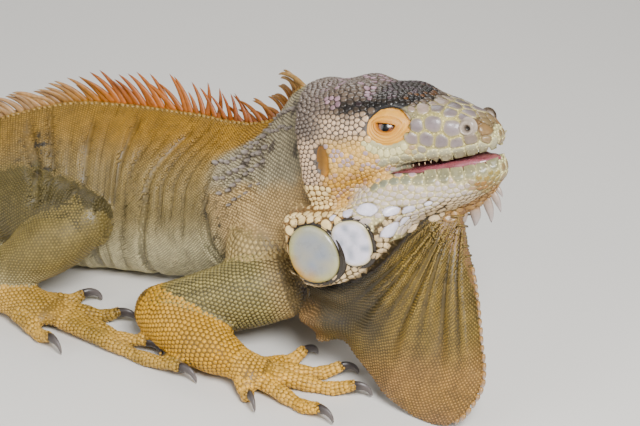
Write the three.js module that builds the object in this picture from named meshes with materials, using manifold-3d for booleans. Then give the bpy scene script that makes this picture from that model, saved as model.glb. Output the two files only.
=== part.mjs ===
// An adult male green iguana lying at rest, life size: a still model in named pieces of flesh.
// Millimetres. The origin is on the flat under the belly, +X towards the head, +Y to the left, +Z up.
import * as THREE from "three";
import Module from "manifold-3d";

const wasm = await Module();
wasm.setup();

// Driving sizes
const gap = 0.3; // between two pieces that touch
const headLength = 90; // ear to tip of snout
const tailLength = 930; // vent to tip, measured along X
const crestHeight = 24; // tallest spine, over the withers
const crestPitch = 13; // from one spine to the next
const eyeRadius = 9.3;

// Where the head is held: ear point, turned to the right, raised, and rolled with its right cheek up
const headPlace = new THREE.Vector3(157, -86, 127);
const headTurn = THREE.MathUtils.degToRad(-14.2);
const headRise = THREE.MathUtils.degToRad(14.4);
const headRoll = THREE.MathUtils.degToRad(-9);

// Colours and finishes of the hide and what stands out from it
const finishes = {
  hide: [0xb39a5c, 0.7],
  limb: [0xc08f4a, 0.7],
  face: [0xa9a08c, 0.6],
  flap: [0xb08d58, 0.7],
  plate: [0xc4c2cf, 0.35],
  ear: [0x9c7d58, 0.5],
  eye: [0x4a2f1c, 0.1],
  mouth: [0xc87f80, 0.4],
  claw: [0x5b524a, 0.4],
};

// ---------- solids ----------

// A closed mesh of points and triangles as a solid, turned so that its faces look outwards.
function solidFrom(points, triangles) {
  const a = new THREE.Vector3();
  let volume = 0;
  for (const [i, j, k] of triangles) volume += points[i].dot(a.crossVectors(points[j], points[k]));
  const triVerts = new Uint32Array(triangles.flatMap(([i, j, k]) => (volume > 0 ? [i, j, k] : [i, k, j])));
  const vertProperties = new Float32Array(points.flatMap((p) => p.toArray()));
  return new wasm.Manifold(new wasm.Mesh({ numProp: 3, vertProperties, triVerts }));
}

// Rings of equally many points joined into a skin, each end closed by a point: a tip or the ring's middle.
function skinRings(rings, tip) {
  const n = rings[0].length;
  const points = rings.flat();
  const triangles = [];
  for (let r = 0; r + 1 < rings.length; r++)
    for (let c = 0; c < n; c++) {
      const [a, b] = [r * n + c, r * n + ((c + 1) % n)];
      triangles.push([a, b, a + n], [b, b + n, a + n]);
    }
  for (const [first, way] of [[0, 1], [(rings.length - 1) * n, -1]]) {
    const middle = new THREE.Vector3();
    for (let c = 0; c < n; c++) middle.addScaledVector(points[first + c], 1 / n);
    points.push(tip && way < 0 ? tip : middle);
    for (let c = 0; c < n; c++) {
      const [a, b] = [first + c, first + ((c + 1) % n)];
      triangles.push(way > 0 ? [b, a, points.length - 1] : [a, b, points.length - 1]);
    }
  }
  return solidFrom(points, triangles);
}

// A geometry from three.js as a solid, after a matrix has placed it.
function solidOf(geometry, matrix) {
  const placed = geometry.clone().applyMatrix4(matrix);
  const seen = new Map();
  const points = [];
  const at = placed.getAttribute("position");
  const ids = [];
  for (let i = 0; i < at.count; i++) {
    const p = new THREE.Vector3().fromBufferAttribute(at, i);
    const key = p.toArray().map((v) => Math.round(v * 1e3)).join();
    if (!seen.has(key)) seen.set(key, points.push(p) - 1);
    ids.push(seen.get(key));
  }
  const index = placed.index ? Array.from(placed.index.array) : ids.map((_, i) => i);
  const triangles = [];
  for (let i = 0; i < index.length; i += 3) {
    const [a, b, c] = [ids[index[i]], ids[index[i + 1]], ids[index[i + 2]]];
    if (a !== b && b !== c && a !== c) triangles.push([a, b, c]);
  }
  return solidFrom(points, triangles);
}

// The largest of a solid's loose bodies, without the crumbs a cut can leave.
function whole(solid) {
  return solid.decompose().reduce((a, b) => (b.volume() > a.volume() ? b : a));
}

// Everything on the side of a plane that its normal points to, for cutting a piece off flat.
function beyond(point, normal, shift = 0) {
  const size = 500;
  const way = normal.clone().normalize();
  const place = new THREE.Matrix4().makeRotationFromQuaternion(
    new THREE.Quaternion().setFromUnitVectors(new THREE.Vector3(1, 0, 0), way),
  );
  place.setPosition(point.clone().addScaledVector(way, shift + size / 2));
  return solidOf(new THREE.BoxGeometry(size, size, size), place);
}

const join = (solids) => solids.reduce((a, b) => a.add(b));

// ---------- lofts ----------

// The values between evenly counted stations, each a list of numbers; u counts stations from 0.
function between(stations, u) {
  const last = stations.length - 1;
  const i = Math.min(Math.max(Math.floor(u), 0), last - 1);
  const t = u - i;
  const row = (k) => stations[Math.min(Math.max(k, 0), last)];
  return stations[i].map((p1, n) => {
    const p2 = stations[i + 1][n];
    const p0 = i > 0 ? row(i - 1)[n] : 2 * p1 - p2;
    const p3 = i < last - 1 ? row(i + 2)[n] : 2 * p2 - p1;
    const bend = (2 * p0 - 5 * p1 + 4 * p2 - p3) * t * t + (3 * p1 - p0 - 3 * p2 + p3) * t ** 3;
    return p1 + 0.5 * ((p2 - p0) * t + bend);
  });
}

// Centre and axes at u of a line of stations that begin with x, y, z.
function axesAt(stations, u) {
  const centre = new THREE.Vector3(...between(stations, u).slice(0, 3));
  const step = 0.02;
  const ahead = new THREE.Vector3(...between(stations, u + step).slice(0, 3));
  const behind = new THREE.Vector3(...between(stations, u - step).slice(0, 3));
  const along = ahead.sub(behind);
  const speed = along.length() / (2 * step);
  along.normalize();
  const side = new THREE.Vector3(0, 0, 1).cross(along).normalize();
  return { centre, along, side, up: along.clone().cross(side), speed };
}

// Rings of a rounded end: each is named by its share of a quarter turn, smallest first.
function domeRings(ring, u, bulge, arcs) {
  return arcs.map((k) => ring(u, Math.sin((k * Math.PI) / 2), bulge * Math.cos((k * Math.PI) / 2)));
}

// A closed loft along stations [x, y, z, half width, height up, height down]; round gives how far, in mm,
// each end bulges past its last ring, in the rings named by arcs as shares of a quarter turn, and section
// bends the plain ellipse into another outline. Every ring has a level edge underneath.
function loft(stations, shape) {
  const { rows, columns, from = 0, to = stations.length - 1 } = shape;
  const { grow = 0, round = [0, 0], arcs = [0.3, 0.7], section } = shape;
  const ring = (u, shrink, shift) => {
    const { centre, along, side, up } = axesAt(stations, u);
    const [, , , width, above, below = above] = between(stations, u);
    return Array.from({ length: columns }, (_, c) => {
      const angle = (2 * Math.PI * (c + 0.5)) / columns - Math.PI / 2;
      const [a, b] = section ? section(angle, u) : [Math.cos(angle), Math.sin(angle)];
      const tall = b > 0 ? above : below;
      return centre
        .clone()
        .addScaledVector(along, shift)
        .addScaledVector(side, a * (width + grow) * shrink)
        .addScaledVector(up, b * (tall + grow) * shrink);
    });
  };
  const reach = (u, rounding) => (rounding ? 0 : grow / axesAt(stations, u).speed);
  const [first, last] = [from - reach(from, round[0]), to + reach(to, round[1])];
  const rings = round[0] ? domeRings(ring, from, -round[0] - grow, arcs) : [];
  for (let r = 0; r <= rows; r++) rings.push(ring(THREE.MathUtils.lerp(first, last, r / rows), 1, 0));
  if (round[1]) rings.push(...domeRings(ring, to, round[1] + grow, arcs).reverse());
  return skinRings(rings);
}

// ---------- neck, trunk and tail ----------

// Stations from the back of the skull to the vent: x, y, z, half width, height up, height down
const trunkLine = [
  [157, -86, 116, 27, 49, 38],
  [139, -70, 98, 31, 49, 40],
  [117, -47, 79, 39, 41, 48],
  [88, -27, 63, 45, 45, 50],
  [52, -10, 54, 48, 50, 52],
  [12, 0, 48, 50, 54, 51],
  [-30, 0, 46, 51, 55, 49],
  [-68, -8, 43, 45, 50, 45],
  [-102, -18, 37, 36, 42, 38],
];
const vent = [-135, -28];

// The tail lies on the floor in a slow bend; it thins quickly past its swollen base, then evenly.
function tailStation(k, count) {
  const u = (k / count) ** 1.35;
  const width = 1.2 + 11.8 * (1 - u) + 13 * (1 - u) ** 4;
  const below = 1.1 * width;
  const y = vent[1] - 230 * u + 520 * u ** 2 - 140 * u ** 3;
  return [vent[0] - tailLength * u, y, 0.9 * below - 0.15, width, 1.15 * width, below];
}
const tailCount = 10;
const tailLine = Array.from({ length: tailCount + 1 }, (_, k) => tailStation(k, tailCount));
const bodyLine = [...trunkLine, ...tailLine];
const ventAt = trunkLine.length;

// The trunk's outline: its top leans in to a low ridge that carries the crest, its underside spreads.
function trunkSection(angle, u) {
  const [c, s] = [Math.cos(angle), Math.sin(angle)];
  const ridge = 0.07 * Math.exp(-((Math.acos(Math.min(s, 1)) / 0.25) ** 2));
  const onTail = THREE.MathUtils.smoothstep(u, ventAt - 1, ventAt + 1);
  const lean = THREE.MathUtils.lerp(0.16, 0.04, onTail);
  const spread = THREE.MathUtils.lerp(0.22, 0.05, onTail);
  return s > 0 ? [c * (1 - lean * s * s), s + ridge] : [c * (1 + spread * s * s), s];
}

// Cuts between the named lengths, counted in stations
const bodyPieces = [
  ["neck", 0, 2.6, 5, 17],
  ["trunk_front", 2.6, 5, 4, 17],
  ["trunk_rear", 5, 7.5, 4, 17],
  ["pelvis", 7.5, ventAt + 0.3, 3, 15],
  ["tail_base", ventAt + 0.3, ventAt + 2.5, 4, 11],
  ["tail_upper", ventAt + 2.5, ventAt + 4.5, 4, 9],
  ["tail_middle", ventAt + 4.5, ventAt + 6.5, 4, 9],
  ["tail_lower", ventAt + 6.5, ventAt + 8.3, 4, 7],
  ["tail_tip", ventAt + 8.3, ventAt + tailCount, 3, 7],
];

function bodyPiece([, from, to, rows, columns], grow = 0) {
  const half = gap / 2;
  const start = from + (from > 0 ? half / axesAt(bodyLine, from).speed : 0);
  const end = to - (to < bodyLine.length - 1 ? half / axesAt(bodyLine, to).speed : 0);
  return loft(bodyLine, { rows, columns, from: start, to: end, grow, section: trunkSection });
}

// One spine of the crest: a flat blade standing at u, leaning and curling back towards the tail.
function spine(u, height) {
  const { centre, along, side, up } = axesAt(bodyLine, u);
  const foot = centre.addScaledVector(up, between(bodyLine, u)[4] * 1.03);
  const at = (h) =>
    foot
      .clone()
      .addScaledVector(up, height * h)
      .addScaledVector(along, 0.5 * height * Math.max(h, 0) ** 1.8);
  const broad = 1.4 + 0.13 * height;
  const rings = [[-0.25, broad, 1.7], [0.5, 0.62 * broad, 1.1]].map(([h, wide, thick]) =>
    [[1, 0], [0, 1], [-1, 0], [0, -1]].map(([f, s]) =>
      at(h).addScaledVector(along, f * wide).addScaledVector(side, s * thick),
    ),
  );
  return skinRings(rings, at(1));
}

const [crestFrom, crestTo] = [0.45, ventAt + 2.5];

// Heights of the crest: tall over the neck and shoulders, lower down the back, gone on the tail.
function crestAt(u) {
  const rise = THREE.MathUtils.smoothstep(u, 0.5, 2.2);
  const fall = THREE.MathUtils.lerp(1, 0.28, THREE.MathUtils.smoothstep(u, 4, ventAt + 2));
  return crestHeight * (0.65 + 0.35 * rise) * fall;
}

// The spines of one length of the body, evenly spaced and clear of its two cuts.
function crestOn([, from, to]) {
  const [first, last] = [Math.max(from, crestFrom), Math.min(to, crestTo)];
  if (last <= first) return [];
  const length = (last - first) * axesAt(bodyLine, (first + last) / 2).speed;
  const count = Math.round(length / crestPitch);
  return Array.from({ length: count }, (_, k) => {
    const u = first + ((k + 0.5) * (last - first)) / count;
    return spine(u, crestAt(u) * (1 + 0.16 * Math.sin(40 * u)));
  });
}

// ---------- head ----------

// The head's own frame: x from the ear to the snout, y to the left, z out of the crown.
function headMatrix() {
  const forward = new THREE.Vector3(Math.cos(headTurn), Math.sin(headTurn), 0);
  const left = new THREE.Vector3(-Math.sin(headTurn), Math.cos(headTurn), 0);
  forward.multiplyScalar(Math.cos(headRise)).add(new THREE.Vector3(0, 0, Math.sin(headRise)));
  const up = forward.clone().cross(left);
  left.applyAxisAngle(forward, headRoll);
  up.applyAxisAngle(forward, headRoll);
  return new THREE.Matrix4().makeBasis(forward, left, up).setPosition(headPlace);
}
const headFrame = headMatrix();
const inHead = (x, y, z) => new THREE.Vector3(x, y, z).applyMatrix4(headFrame);

// Stations of the skull: x, height of the crown, half width, height of the upper lip
const skullLine = [
  [-14, 39, 33, -40],
  [2, 37, 35.5, -33],
  [22, 34.5, 34, -18],
  [40, 31, 29.5, -9],
  [56, 25, 23.5, -8],
  [70, 18.5, 18, -6.5],
  [81, 12.5, 13, -5],
  [headLength - 2, 6, 8, -4],
];
// Stations of the lower jaw and the jowls behind it: x, height of the lower lip, half width, underside
const jawLine = [
  [-26, -38, 29, -62],
  [-11, -30.5, 37.5, -71],
  [6, -22.5, 39.5, -64],
  [22, -12, 36.5, -53],
  [40, -10, 30, -44],
  [56, -12, 24, -38],
  [69, -12.6, 18.5, -33.5],
  [80, -11.8, 13.5, -29],
  [headLength - 3, -10.4, 8, -23],
];

// Swellings and hollows of the head, for the right side and mirrored: x, y, z, reach, height
const headForms = [
  [14, 17, 33, 11, 3.5], // jaw muscle behind the brow
  [40, 21, 26, 8, 2.5], // brow
  [36, 27, 14, 9, -1.2], // hollow round the eye
  [78, 11, 7, 5, 2.5], // nostril
  [0, 35, 0, 8, -2], // ear
];

// One closed shell of the head: rings across x, each a squared ellipse between two heights.
// The half that meets the other jaw is squarer, so that the lips stand in a steep wall.
function headShell({ line, rows, columns, square, pinch, round, lips }, grow) {
  const ring = (u, shrink, shift) => {
    const [x, top, half, bottom] = between(line, u);
    const [middle, tall] = [(top + bottom) / 2, (top - bottom) / 2];
    return Array.from({ length: columns }, (_, c) => {
      const angle = (2 * Math.PI * (c + 0.5)) / columns;
      const lip = lips * Math.sin(angle) > 0 ? THREE.MathUtils.smoothstep(x, 15, 40) : 0;
      const power = 2 / (square + (lipSquare - square) * lip);
      const a = Math.sign(Math.cos(angle)) * Math.abs(Math.cos(angle)) ** power;
      const b = Math.sign(Math.sin(angle)) * Math.abs(Math.sin(angle)) ** power;
      const narrow = 1 - pinch * (b > 0 ? 0 : b * b);
      const p = new THREE.Vector3(x + shift, a * half * narrow * shrink, middle + b * tall * shrink);
      const out = new THREE.Vector3(0, p.y, p.z - middle).normalize();
      let lift = grow;
      for (const [fx, fy, fz, reach, height] of headForms) {
        const near = (p.x - fx) ** 2 + (Math.abs(p.y) - fy) ** 2 + (p.z - fz) ** 2;
        lift += height * Math.exp(-near / reach ** 2);
      }
      return p.addScaledVector(out, lift * Math.min(shrink * 2, 1)).applyMatrix4(headFrame);
    });
  };
  const last = line.length - 1;
  const arcs = [0.3, 0.7];
  const rings = round[0] ? domeRings(ring, 0, -round[0] - grow, arcs) : [];
  for (let r = 0; r <= rows; r++) rings.push(ring((last * r) / rows, 1, 0));
  rings.push(...domeRings(ring, last, round[1] + grow, arcs).reverse());
  return skinRings(rings);
}
const lipSquare = 4.4;
const skullShape = { line: skullLine, rows: 8, columns: 16, square: 2.5, pinch: 0.04, round: [0, 2.5], lips: -1 };
const jawShape = { line: jawLine, rows: 8, columns: 13, square: 2.3, pinch: 0.3, round: [7, 3], lips: 1 };
const skull = (grow = 0) => headShell(skullShape, grow);
const jaw = (grow = 0) => headShell(jawShape, grow);

// An egg-shaped body in the head's frame, on the side given by its sign.
function headEgg(x, y, z, [rx, ry, rz], grow = 0, facets = 8) {
  const place = new THREE.Matrix4().makeTranslation(x, y, z);
  place.scale(new THREE.Vector3(rx + grow, ry + grow, rz + grow));
  const egg = new THREE.SphereGeometry(1, facets, Math.round(facets * 0.6));
  return solidOf(egg, place.premultiply(headFrame));
}
const sides = { left: 1, right: -1 };
const lidSlit = (side) => headEgg(36.5, side * 28.5, 13.5, [7.5, 5, 4.6]);
const eye = (side, grow) => headEgg(36, side * 17, 14, [eyeRadius, eyeRadius, eyeRadius], grow);
const ear = (side, grow) => headEgg(0, side * 33.4, -1, [4.6, 2.6, 8], grow);
const earPlate = (side, grow) => headEgg(-10, side * 37, -50, [14.5, 4.5, 17], grow, 10);

// The tongue and the floor of the mouth, a low pad between the lips.
function mouthPad() {
  const rings = [[30, 14, 1], [48, 14, 1.4], [66, 10, 2.6], [81, 5, 2.6]].map(([x, half, tall], i) => {
    const floor = THREE.MathUtils.lerp(-9.8, -10.6, i / 3);
    return Array.from({ length: 8 }, (_, c) => {
      const angle = (2 * Math.PI * c) / 8;
      const height = tall * Math.sin(angle) * (Math.sin(angle) > 0 ? 1 : 0.6);
      return inHead(x, half * Math.cos(angle), floor + height);
    });
  });
  return skinRings(rings);
}

// ---------- dewlap ----------

// The throat flap hangs from the jaw and leans to the right; its free edge runs from chin to chest.
const flapLean = 0.24;
const flapRoot = [[62, -30], [44, -38], [22, -46], [2, -54], [-18, -58]];
const flapEdge = [
  [62, -38],
  [68, -68],
  [71, -100],
  [70, -131],
  [47, -150],
  [16, -136],
  [-10, -107],
  [-30, -106],
  [-37, -87],
];

function flapPoint(u, v, thick, side) {
  const [rx, rz] = between(flapRoot, u * (flapRoot.length - 1));
  const [ex, ez] = between(flapEdge, u * (flapEdge.length - 1));
  const [x, z] = [THREE.MathUtils.lerp(rx, ex, v), THREE.MathUtils.lerp(rz, ez, v)];
  return inHead(x, flapLean * (z + 25) + side * thick, z);
}

// Half thickness: fullest high in the throat, thin along the free edge and at the front.
function flapHalf(u, v) {
  const front = THREE.MathUtils.smoothstep(u, 0, 0.25) * (1 - 0.5 * THREE.MathUtils.smoothstep(u, 0.8, 1));
  return 2.2 + (3 + 6 * front) * Math.sqrt(Math.max(1 - v * v, 0)) * (0.35 + 0.65 * front);
}

function dewlap() {
  const [across, down] = [11, 3];
  const rings = [];
  for (let i = 0; i <= across; i++) {
    const u = i / across;
    const ring = [];
    for (let j = 0; j <= down; j++) ring.push(flapPoint(u, j / down, flapHalf(u, j / down), 1));
    for (let j = down; j >= 0; j--) ring.push(flapPoint(u, j / down, flapHalf(u, j / down), -1));
    rings.push(ring);
  }
  return skinRings(rings);
}

// A fold of skin under the chin: x, height of its free edge.
const chinFoldLine = [[54, -41], [63, -40], [71, -37.5], [78, -32.5], [84, -27.5]];

function chinFold(grow = 0) {
  const [half, root] = [2 + grow, 10];
  return skinRings(
    chinFoldLine.map(([x, z]) =>
      [[half, 0], [half, root], [-half, root], [-half, 0]].map(([y, up]) => inHead(x, y, z + (up || -grow))),
    ),
  );
}

// Soft spikes along the free edge of that fold: where each stands on it, and its length.
const chinSpikeSizes = [[0.9, 7.5], [1.75, 9], [2.75, 12], [3.4, 10.5], [3.9, 5]];

function chinSpikes(grow = 0) {
  return chinSpikeSizes.map(([u, length]) => {
    const [x, z] = between(chinFoldLine, u);
    const [long, thick] = [length + grow, 1 + 0.14 * length];
    const rings = [0, 0.95].map((h) =>
      [0, 1, 2, 3].map((c) => {
        const r = thick * (1 - 0.78 * h) + grow;
        const [s, f] = [0.8 * r * Math.sin((c * Math.PI) / 2), r * Math.cos((c * Math.PI) / 2)];
        return inHead(x + long * 0.3 * h + f, s, z + 1.5 - long * 0.9 * h + f * 0.3);
      }),
    );
    return skinRings(rings);
  });
}

// ---------- limbs ----------

// A length of limb: stations [x, y, z, half width, half height], rounded at its far end and, unless it is
// rooted in another piece, at its near one.
function limb(line, { columns, rows, arcs, grow = 0, rooted = false }) {
  const [first, last] = [line[0], line.at(-1)];
  return loft(line, { rows, columns, grow, arcs, round: [rooted ? 0 : 0.8 * first[3], 0.8 * last[3]] });
}

// Two lengths of limb part on the plane that halves the angle between them: what each loses to the other.
function foldAt(line, next) {
  const point = (station) => new THREE.Vector3(...station.slice(0, 3));
  const joint = point(line.at(-1));
  const back = point(line.at(-2)).sub(joint).normalize();
  const onward = point(next[1]).sub(joint).normalize();
  const normal = back.sub(onward);
  return {
    near: beyond(joint, normal, -gap / 2),
    far: beyond(joint, normal.clone().negate(), -gap / 2),
  };
}

const digitSides = 5;

// A digit runs from the palm to the root of its claw: it arches, rests on its pad and lifts its last joint.
function digitLine([bx, by, bz], [tx, ty], thick) {
  const low = 0.3; // how far its pad is pressed flat
  const level = Math.cos(Math.PI / digitSides); // how far down the level edge lies, as a share of the radius
  return [0, 0.4, 0.72, 1].map((u, k) => {
    const r = thick * (1 - 0.26 * u);
    const z = [bz, r + 0.4, r * level - low, r + 3.2][k];
    return [THREE.MathUtils.lerp(bx, tx, u), THREE.MathUtils.lerp(by, ty, u), z, r, r];
  });
}

// A claw hooks forward and down from the end of a digit to a point on the floor.
function claw(line, long) {
  const [a, b] = [line.at(-2), line.at(-1)];
  const way = new THREE.Vector3(b[0] - a[0], b[1] - a[1], 0).normalize();
  const across = new THREE.Vector3(-way.y, way.x, 0);
  const [x, y, z, thick] = b;
  const at = (t, height) => new THREE.Vector3(x + way.x * long * t, y + way.y * long * t, height);
  const rings = [[0.1, 0.1, 0.6, 0], [0.7, 0.1, 0.46, 0.6]].map(([t, lift, size, tilt]) =>
    [[0, 1], [0.65, 0], [0, -1], [-0.65, 0]].map(([s, h]) =>
      at(t, z + lift * thick + h * size * thick * Math.cos(tilt))
        .addScaledVector(across, s * size * thick)
        .addScaledVector(way, h * size * thick * Math.sin(tilt)),
    ),
  );
  return skinRings(rings, at(1, 0.4));
}

// Each limb: two lengths, a palm or sole, and the roots and ends of its five digits.
const limbs = {
  fore_right: {
    shoulder: [[106, -79, 52], [23, 18, 22]],
    upper: ["upper_arm", [
      [120, -92, 41, 18, 21],
      [98, -97, 34.5, 19.5, 21],
      [70, -101, 26, 17, 18],
      [46, -100, 19.5, 14, 14.5],
    ]],
    lower: ["forearm", [
      [46, -100, 19.5, 14, 14.5],
      [64, -112, 18, 17.5, 17],
      [85, -126, 15, 15.5, 14],
      [104, -135, 11.5, 11, 9.6],
    ]],
    pad: ["hand", [
      [104, -135, 11.5, 11, 9.6],
      [112, -136.5, 9.4, 12, 8.2],
      [119, -136.5, 7.6, 11.8, 7],
    ]],
    ends: [[135, -107], [159, -119], [170, -137], [156, -163], [116, -157]],
    roots: [[116, -127, 6.8], [121, -131, 6.8], [122, -136, 6.8], [118, -142, 6.8], [108, -144, 6.8]],
    thick: 5,
    claw: 8.5,
  },
  fore_left: {
    shoulder: [[124, -10, 54], [20, 20, 22]],
    upper: ["upper_arm", [
      [128, -18, 46, 18, 20],
      [118, 2, 38, 19.5, 20.5],
      [106, 24, 28, 17, 17.5],
      [96, 42, 19.5, 14, 14.5],
    ]],
    lower: ["forearm", [
      [96, 42, 19.5, 14, 14.5],
      [114, 33, 18, 16, 16],
      [133, 22, 15, 13, 13],
      [151, 12, 11.5, 10, 9.5],
    ]],
    pad: ["hand", [
      [151, 12, 11.5, 10, 9.5],
      [159, 8, 9.4, 11.5, 8.2],
      [166, 5, 7.6, 11.5, 7],
    ]],
    ends: [[185, -26], [206, -17], [213, 2], [202, 22], [165, 31]],
    roots: [[166, -4, 6.8], [170, 0, 6.8], [170, 5, 6.8], [167, 10, 6.8], [156, 15, 6.8]],
    thick: 5,
    claw: 8.5,
  },
  hind_right: {
    upper: ["thigh", [
      [-82, -30, 44, 23, 24],
      [-54, -44, 51, 23, 24],
      [-27, -56, 55, 19, 20],
      [-4, -63, 55, 15, 16],
    ]],
    lower: ["shin", [
      [-4, -63, 55, 15, 16],
      [-25, -70, 42, 19, 19],
      [-48, -76, 27, 15.5, 15.5],
      [-74, -82, 15, 10.5, 10],
    ]],
    pad: ["foot", [
      [-74, -82, 15, 10.5, 10],
      [-56, -86, 10.5, 13, 9],
      [-37, -90, 9, 13.5, 8.4],
      [-22, -94, 7.6, 13, 7],
    ]],
    ends: [[-11, -69], [18, -86], [44, -115], [71, -138], [-12, -122]],
    roots: [[-30, -80, 6.8], [-18, -87, 6.8], [-15, -93, 6.8], [-18, -100, 6.8], [-42, -99, 6.8]],
    thick: 5.2,
    claw: 10,
  },
  hind_left: {
    upper: ["thigh", [
      [-88, 6, 44, 23, 24],
      [-62, 27, 50, 23, 24],
      [-37, 47, 53, 19, 20],
      [-15, 63, 52, 15, 16],
    ]],
    lower: ["shin", [
      [-15, 63, 52, 15, 16],
      [-37, 68, 40, 18, 18],
      [-61, 71, 26, 15, 15],
      [-87, 74, 15, 10.5, 10],
    ]],
    pad: ["foot", [
      [-87, 74, 15, 10.5, 10],
      [-70, 79, 10.5, 13, 9],
      [-52, 85, 9, 13.5, 8.4],
      [-38, 91, 7.6, 13, 7],
    ]],
    ends: [[-26, 66], [4, 83], [30, 109], [54, 136], [-27, 122]],
    roots: [[-46, 76, 6.8], [-33, 84, 6.8], [-30, 91, 6.8], [-34, 98, 6.8], [-57, 95, 6.8]],
    thick: 5.2,
    claw: 10,
  },
};

// ---------- putting the animal together ----------

const group = new THREE.Group();
group.name = "iguana";

// The floor, as what is cut away from everything that would reach below it.
const under = new THREE.Matrix4().makeTranslation(0, 0, -100);
const floorSlab = solidOf(new THREE.BoxGeometry(3000, 3000, 200), under);

function addNode(name, solid, finish) {
  const mesh = whole(solid.subtract(floorSlab)).getMesh();
  const geometry = new THREE.BufferGeometry();
  geometry.setAttribute("position", new THREE.BufferAttribute(mesh.vertProperties, 3));
  geometry.setIndex(new THREE.BufferAttribute(mesh.triVerts, 1));
  const flat = geometry.toNonIndexed();
  flat.computeVertexNormals();
  const [color, roughness] = finishes[finish];
  const node = new THREE.Mesh(flat, new THREE.MeshStandardMaterial({ color, roughness, metalness: 0 }));
  node.name = name;
  group.add(node);
}

// Head first: what grows from it or lies against it is cut by the same shapes, swollen by the gap.
const swollenJaw = jaw(gap);
const pair = (make, grow) => join(Object.values(sides).map((side) => make(side, grow)));
const sockets = join([pair(eye, gap), pair(lidSlit), pair(ear, gap)]);
addNode("head", skull().subtract(sockets).subtract(swollenJaw), "face");
addNode("lower_jaw", join([jaw(), chinFold(), ...chinSpikes()]), "face");
addNode("tongue", mouthPad().subtract(swollenJaw).subtract(skull(gap)), "mouth");
for (const [name, side] of Object.entries(sides)) {
  addNode(`eye_${name}`, eye(side, 0), "eye");
  addNode(`ear_${name}`, ear(side, 0), "ear");
  addNode(`ear_plate_${name}`, earPlate(side, 0).subtract(swollenJaw), "plate");
}

const swollenBody = join(bodyPieces.slice(0, 5).map((piece) => bodyPiece(piece, gap)));
const plates = pair(earPlate, gap);
for (const piece of bodyPieces) {
  const [name] = piece;
  let solid = join([bodyPiece(piece), ...crestOn(piece)]);
  if (name === "neck") {
    const nape = inHead(skullLine[0][0] - gap, 0, 0);
    const forward = inHead(1, 0, 0).sub(headPlace);
    solid = solid.subtract(beyond(nape, forward)).subtract(swollenJaw).subtract(plates);
  }
  addNode(name, solid, "hide");
}

const swollenChin = join([swollenJaw, chinFold(gap), ...chinSpikes(gap)]);
addNode("dewlap", dewlap().subtract(swollenChin).subtract(swollenBody).subtract(plates), "flap");

for (const [where, parts] of Object.entries(limbs)) {
  const { shoulder, upper, lower, pad, ends, roots, thick, claw: clawLength } = parts;
  const name = (part) => `${part}_${where}`;
  let trunk = swollenBody;
  if (shoulder) {
    const [centre, radii] = shoulder;
    const ball = (grow) => {
      const place = new THREE.Matrix4().makeTranslation(...centre);
      place.scale(new THREE.Vector3(...radii.map((r) => r + grow)));
      return solidOf(new THREE.SphereGeometry(1, 8, 6), place);
    };
    addNode(name("shoulder"), ball(0).subtract(swollenBody).subtract(plates).subtract(swollenJaw), "limb");
    trunk = join([swollenBody, ball(gap)]);
  }
  const lines = ends.map((end, k) => digitLine(roots[k], end, thick));
  const foot = (grow) => {
    const digit = { columns: digitSides, rows: 3, arcs: [0.5], grow, rooted: true };
    const palm = limb(pad[1], { columns: 8, rows: 2, arcs: [0.5], grow });
    return join([palm, ...lines.map((line) => limb(line, digit))]);
  };
  const [upperCut, lowerCut] = [foldAt(upper[1], lower[1]), foldAt(lower[1], pad[1])];
  const length = { columns: 8, rows: 3 };
  const cuts = { upper: join([trunk, plates]), lower: join([trunk, upperCut.near]) };
  addNode(name(upper[0]), limb(upper[1], length).subtract(upperCut.far).subtract(cuts.upper), "limb");
  addNode(name(lower[0]), limb(lower[1], length).subtract(lowerCut.far).subtract(cuts.lower), "limb");
  addNode(name(pad[0]), foot(0).subtract(lowerCut.near), "limb");
  const swollenFoot = foot(gap);
  lines.forEach((line, k) => {
    addNode(name(`claw_${k + 1}`), claw(line, clawLength).subtract(swollenFoot), "claw");
  });
}

export default group;
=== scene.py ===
import math

import bpy
import numpy as np
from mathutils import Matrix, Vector


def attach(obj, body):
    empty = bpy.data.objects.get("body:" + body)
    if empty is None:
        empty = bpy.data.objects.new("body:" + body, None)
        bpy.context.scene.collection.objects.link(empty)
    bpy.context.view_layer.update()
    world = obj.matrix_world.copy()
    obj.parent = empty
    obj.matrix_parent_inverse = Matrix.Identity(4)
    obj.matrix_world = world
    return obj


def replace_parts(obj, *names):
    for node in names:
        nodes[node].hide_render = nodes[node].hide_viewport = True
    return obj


# An adult male green iguana lying at rest, as a museum shows it. Lengths are millimetres, in the frame of
# the solids, and become metres where a mesh is made.
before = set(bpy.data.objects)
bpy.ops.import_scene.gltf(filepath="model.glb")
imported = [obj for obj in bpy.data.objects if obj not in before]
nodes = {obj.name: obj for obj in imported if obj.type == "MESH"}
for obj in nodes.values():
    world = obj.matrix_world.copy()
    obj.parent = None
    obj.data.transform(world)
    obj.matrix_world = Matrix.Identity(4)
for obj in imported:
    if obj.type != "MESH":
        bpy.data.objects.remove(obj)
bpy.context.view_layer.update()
print("frame:", len(nodes), "nodes")

# small mathematics on whole arrays


def unit(v):
    # v / |v|
    return v / np.maximum(np.linalg.norm(v, axis=-1, keepdims=True), 1e-9)


def mix(a, b, t):
    # a + (b - a) t
    t = np.asarray(t, float)
    if np.ndim(b) > np.ndim(t) or np.ndim(a) > np.ndim(t):
        t = t[..., None]
    return a + (b - a) * t


def rise(x, low, high):
    # 0 below low, 1 above high, 3t^2 - 2t^3 between
    t = np.clip((x - low) / (high - low), 0, 1)
    return t * t * (3 - 2 * t)


def bell(x, middle, width):
    # e^-((x - middle) / width)^2
    return np.exp(-(((x - middle) / width) ** 2))


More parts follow.
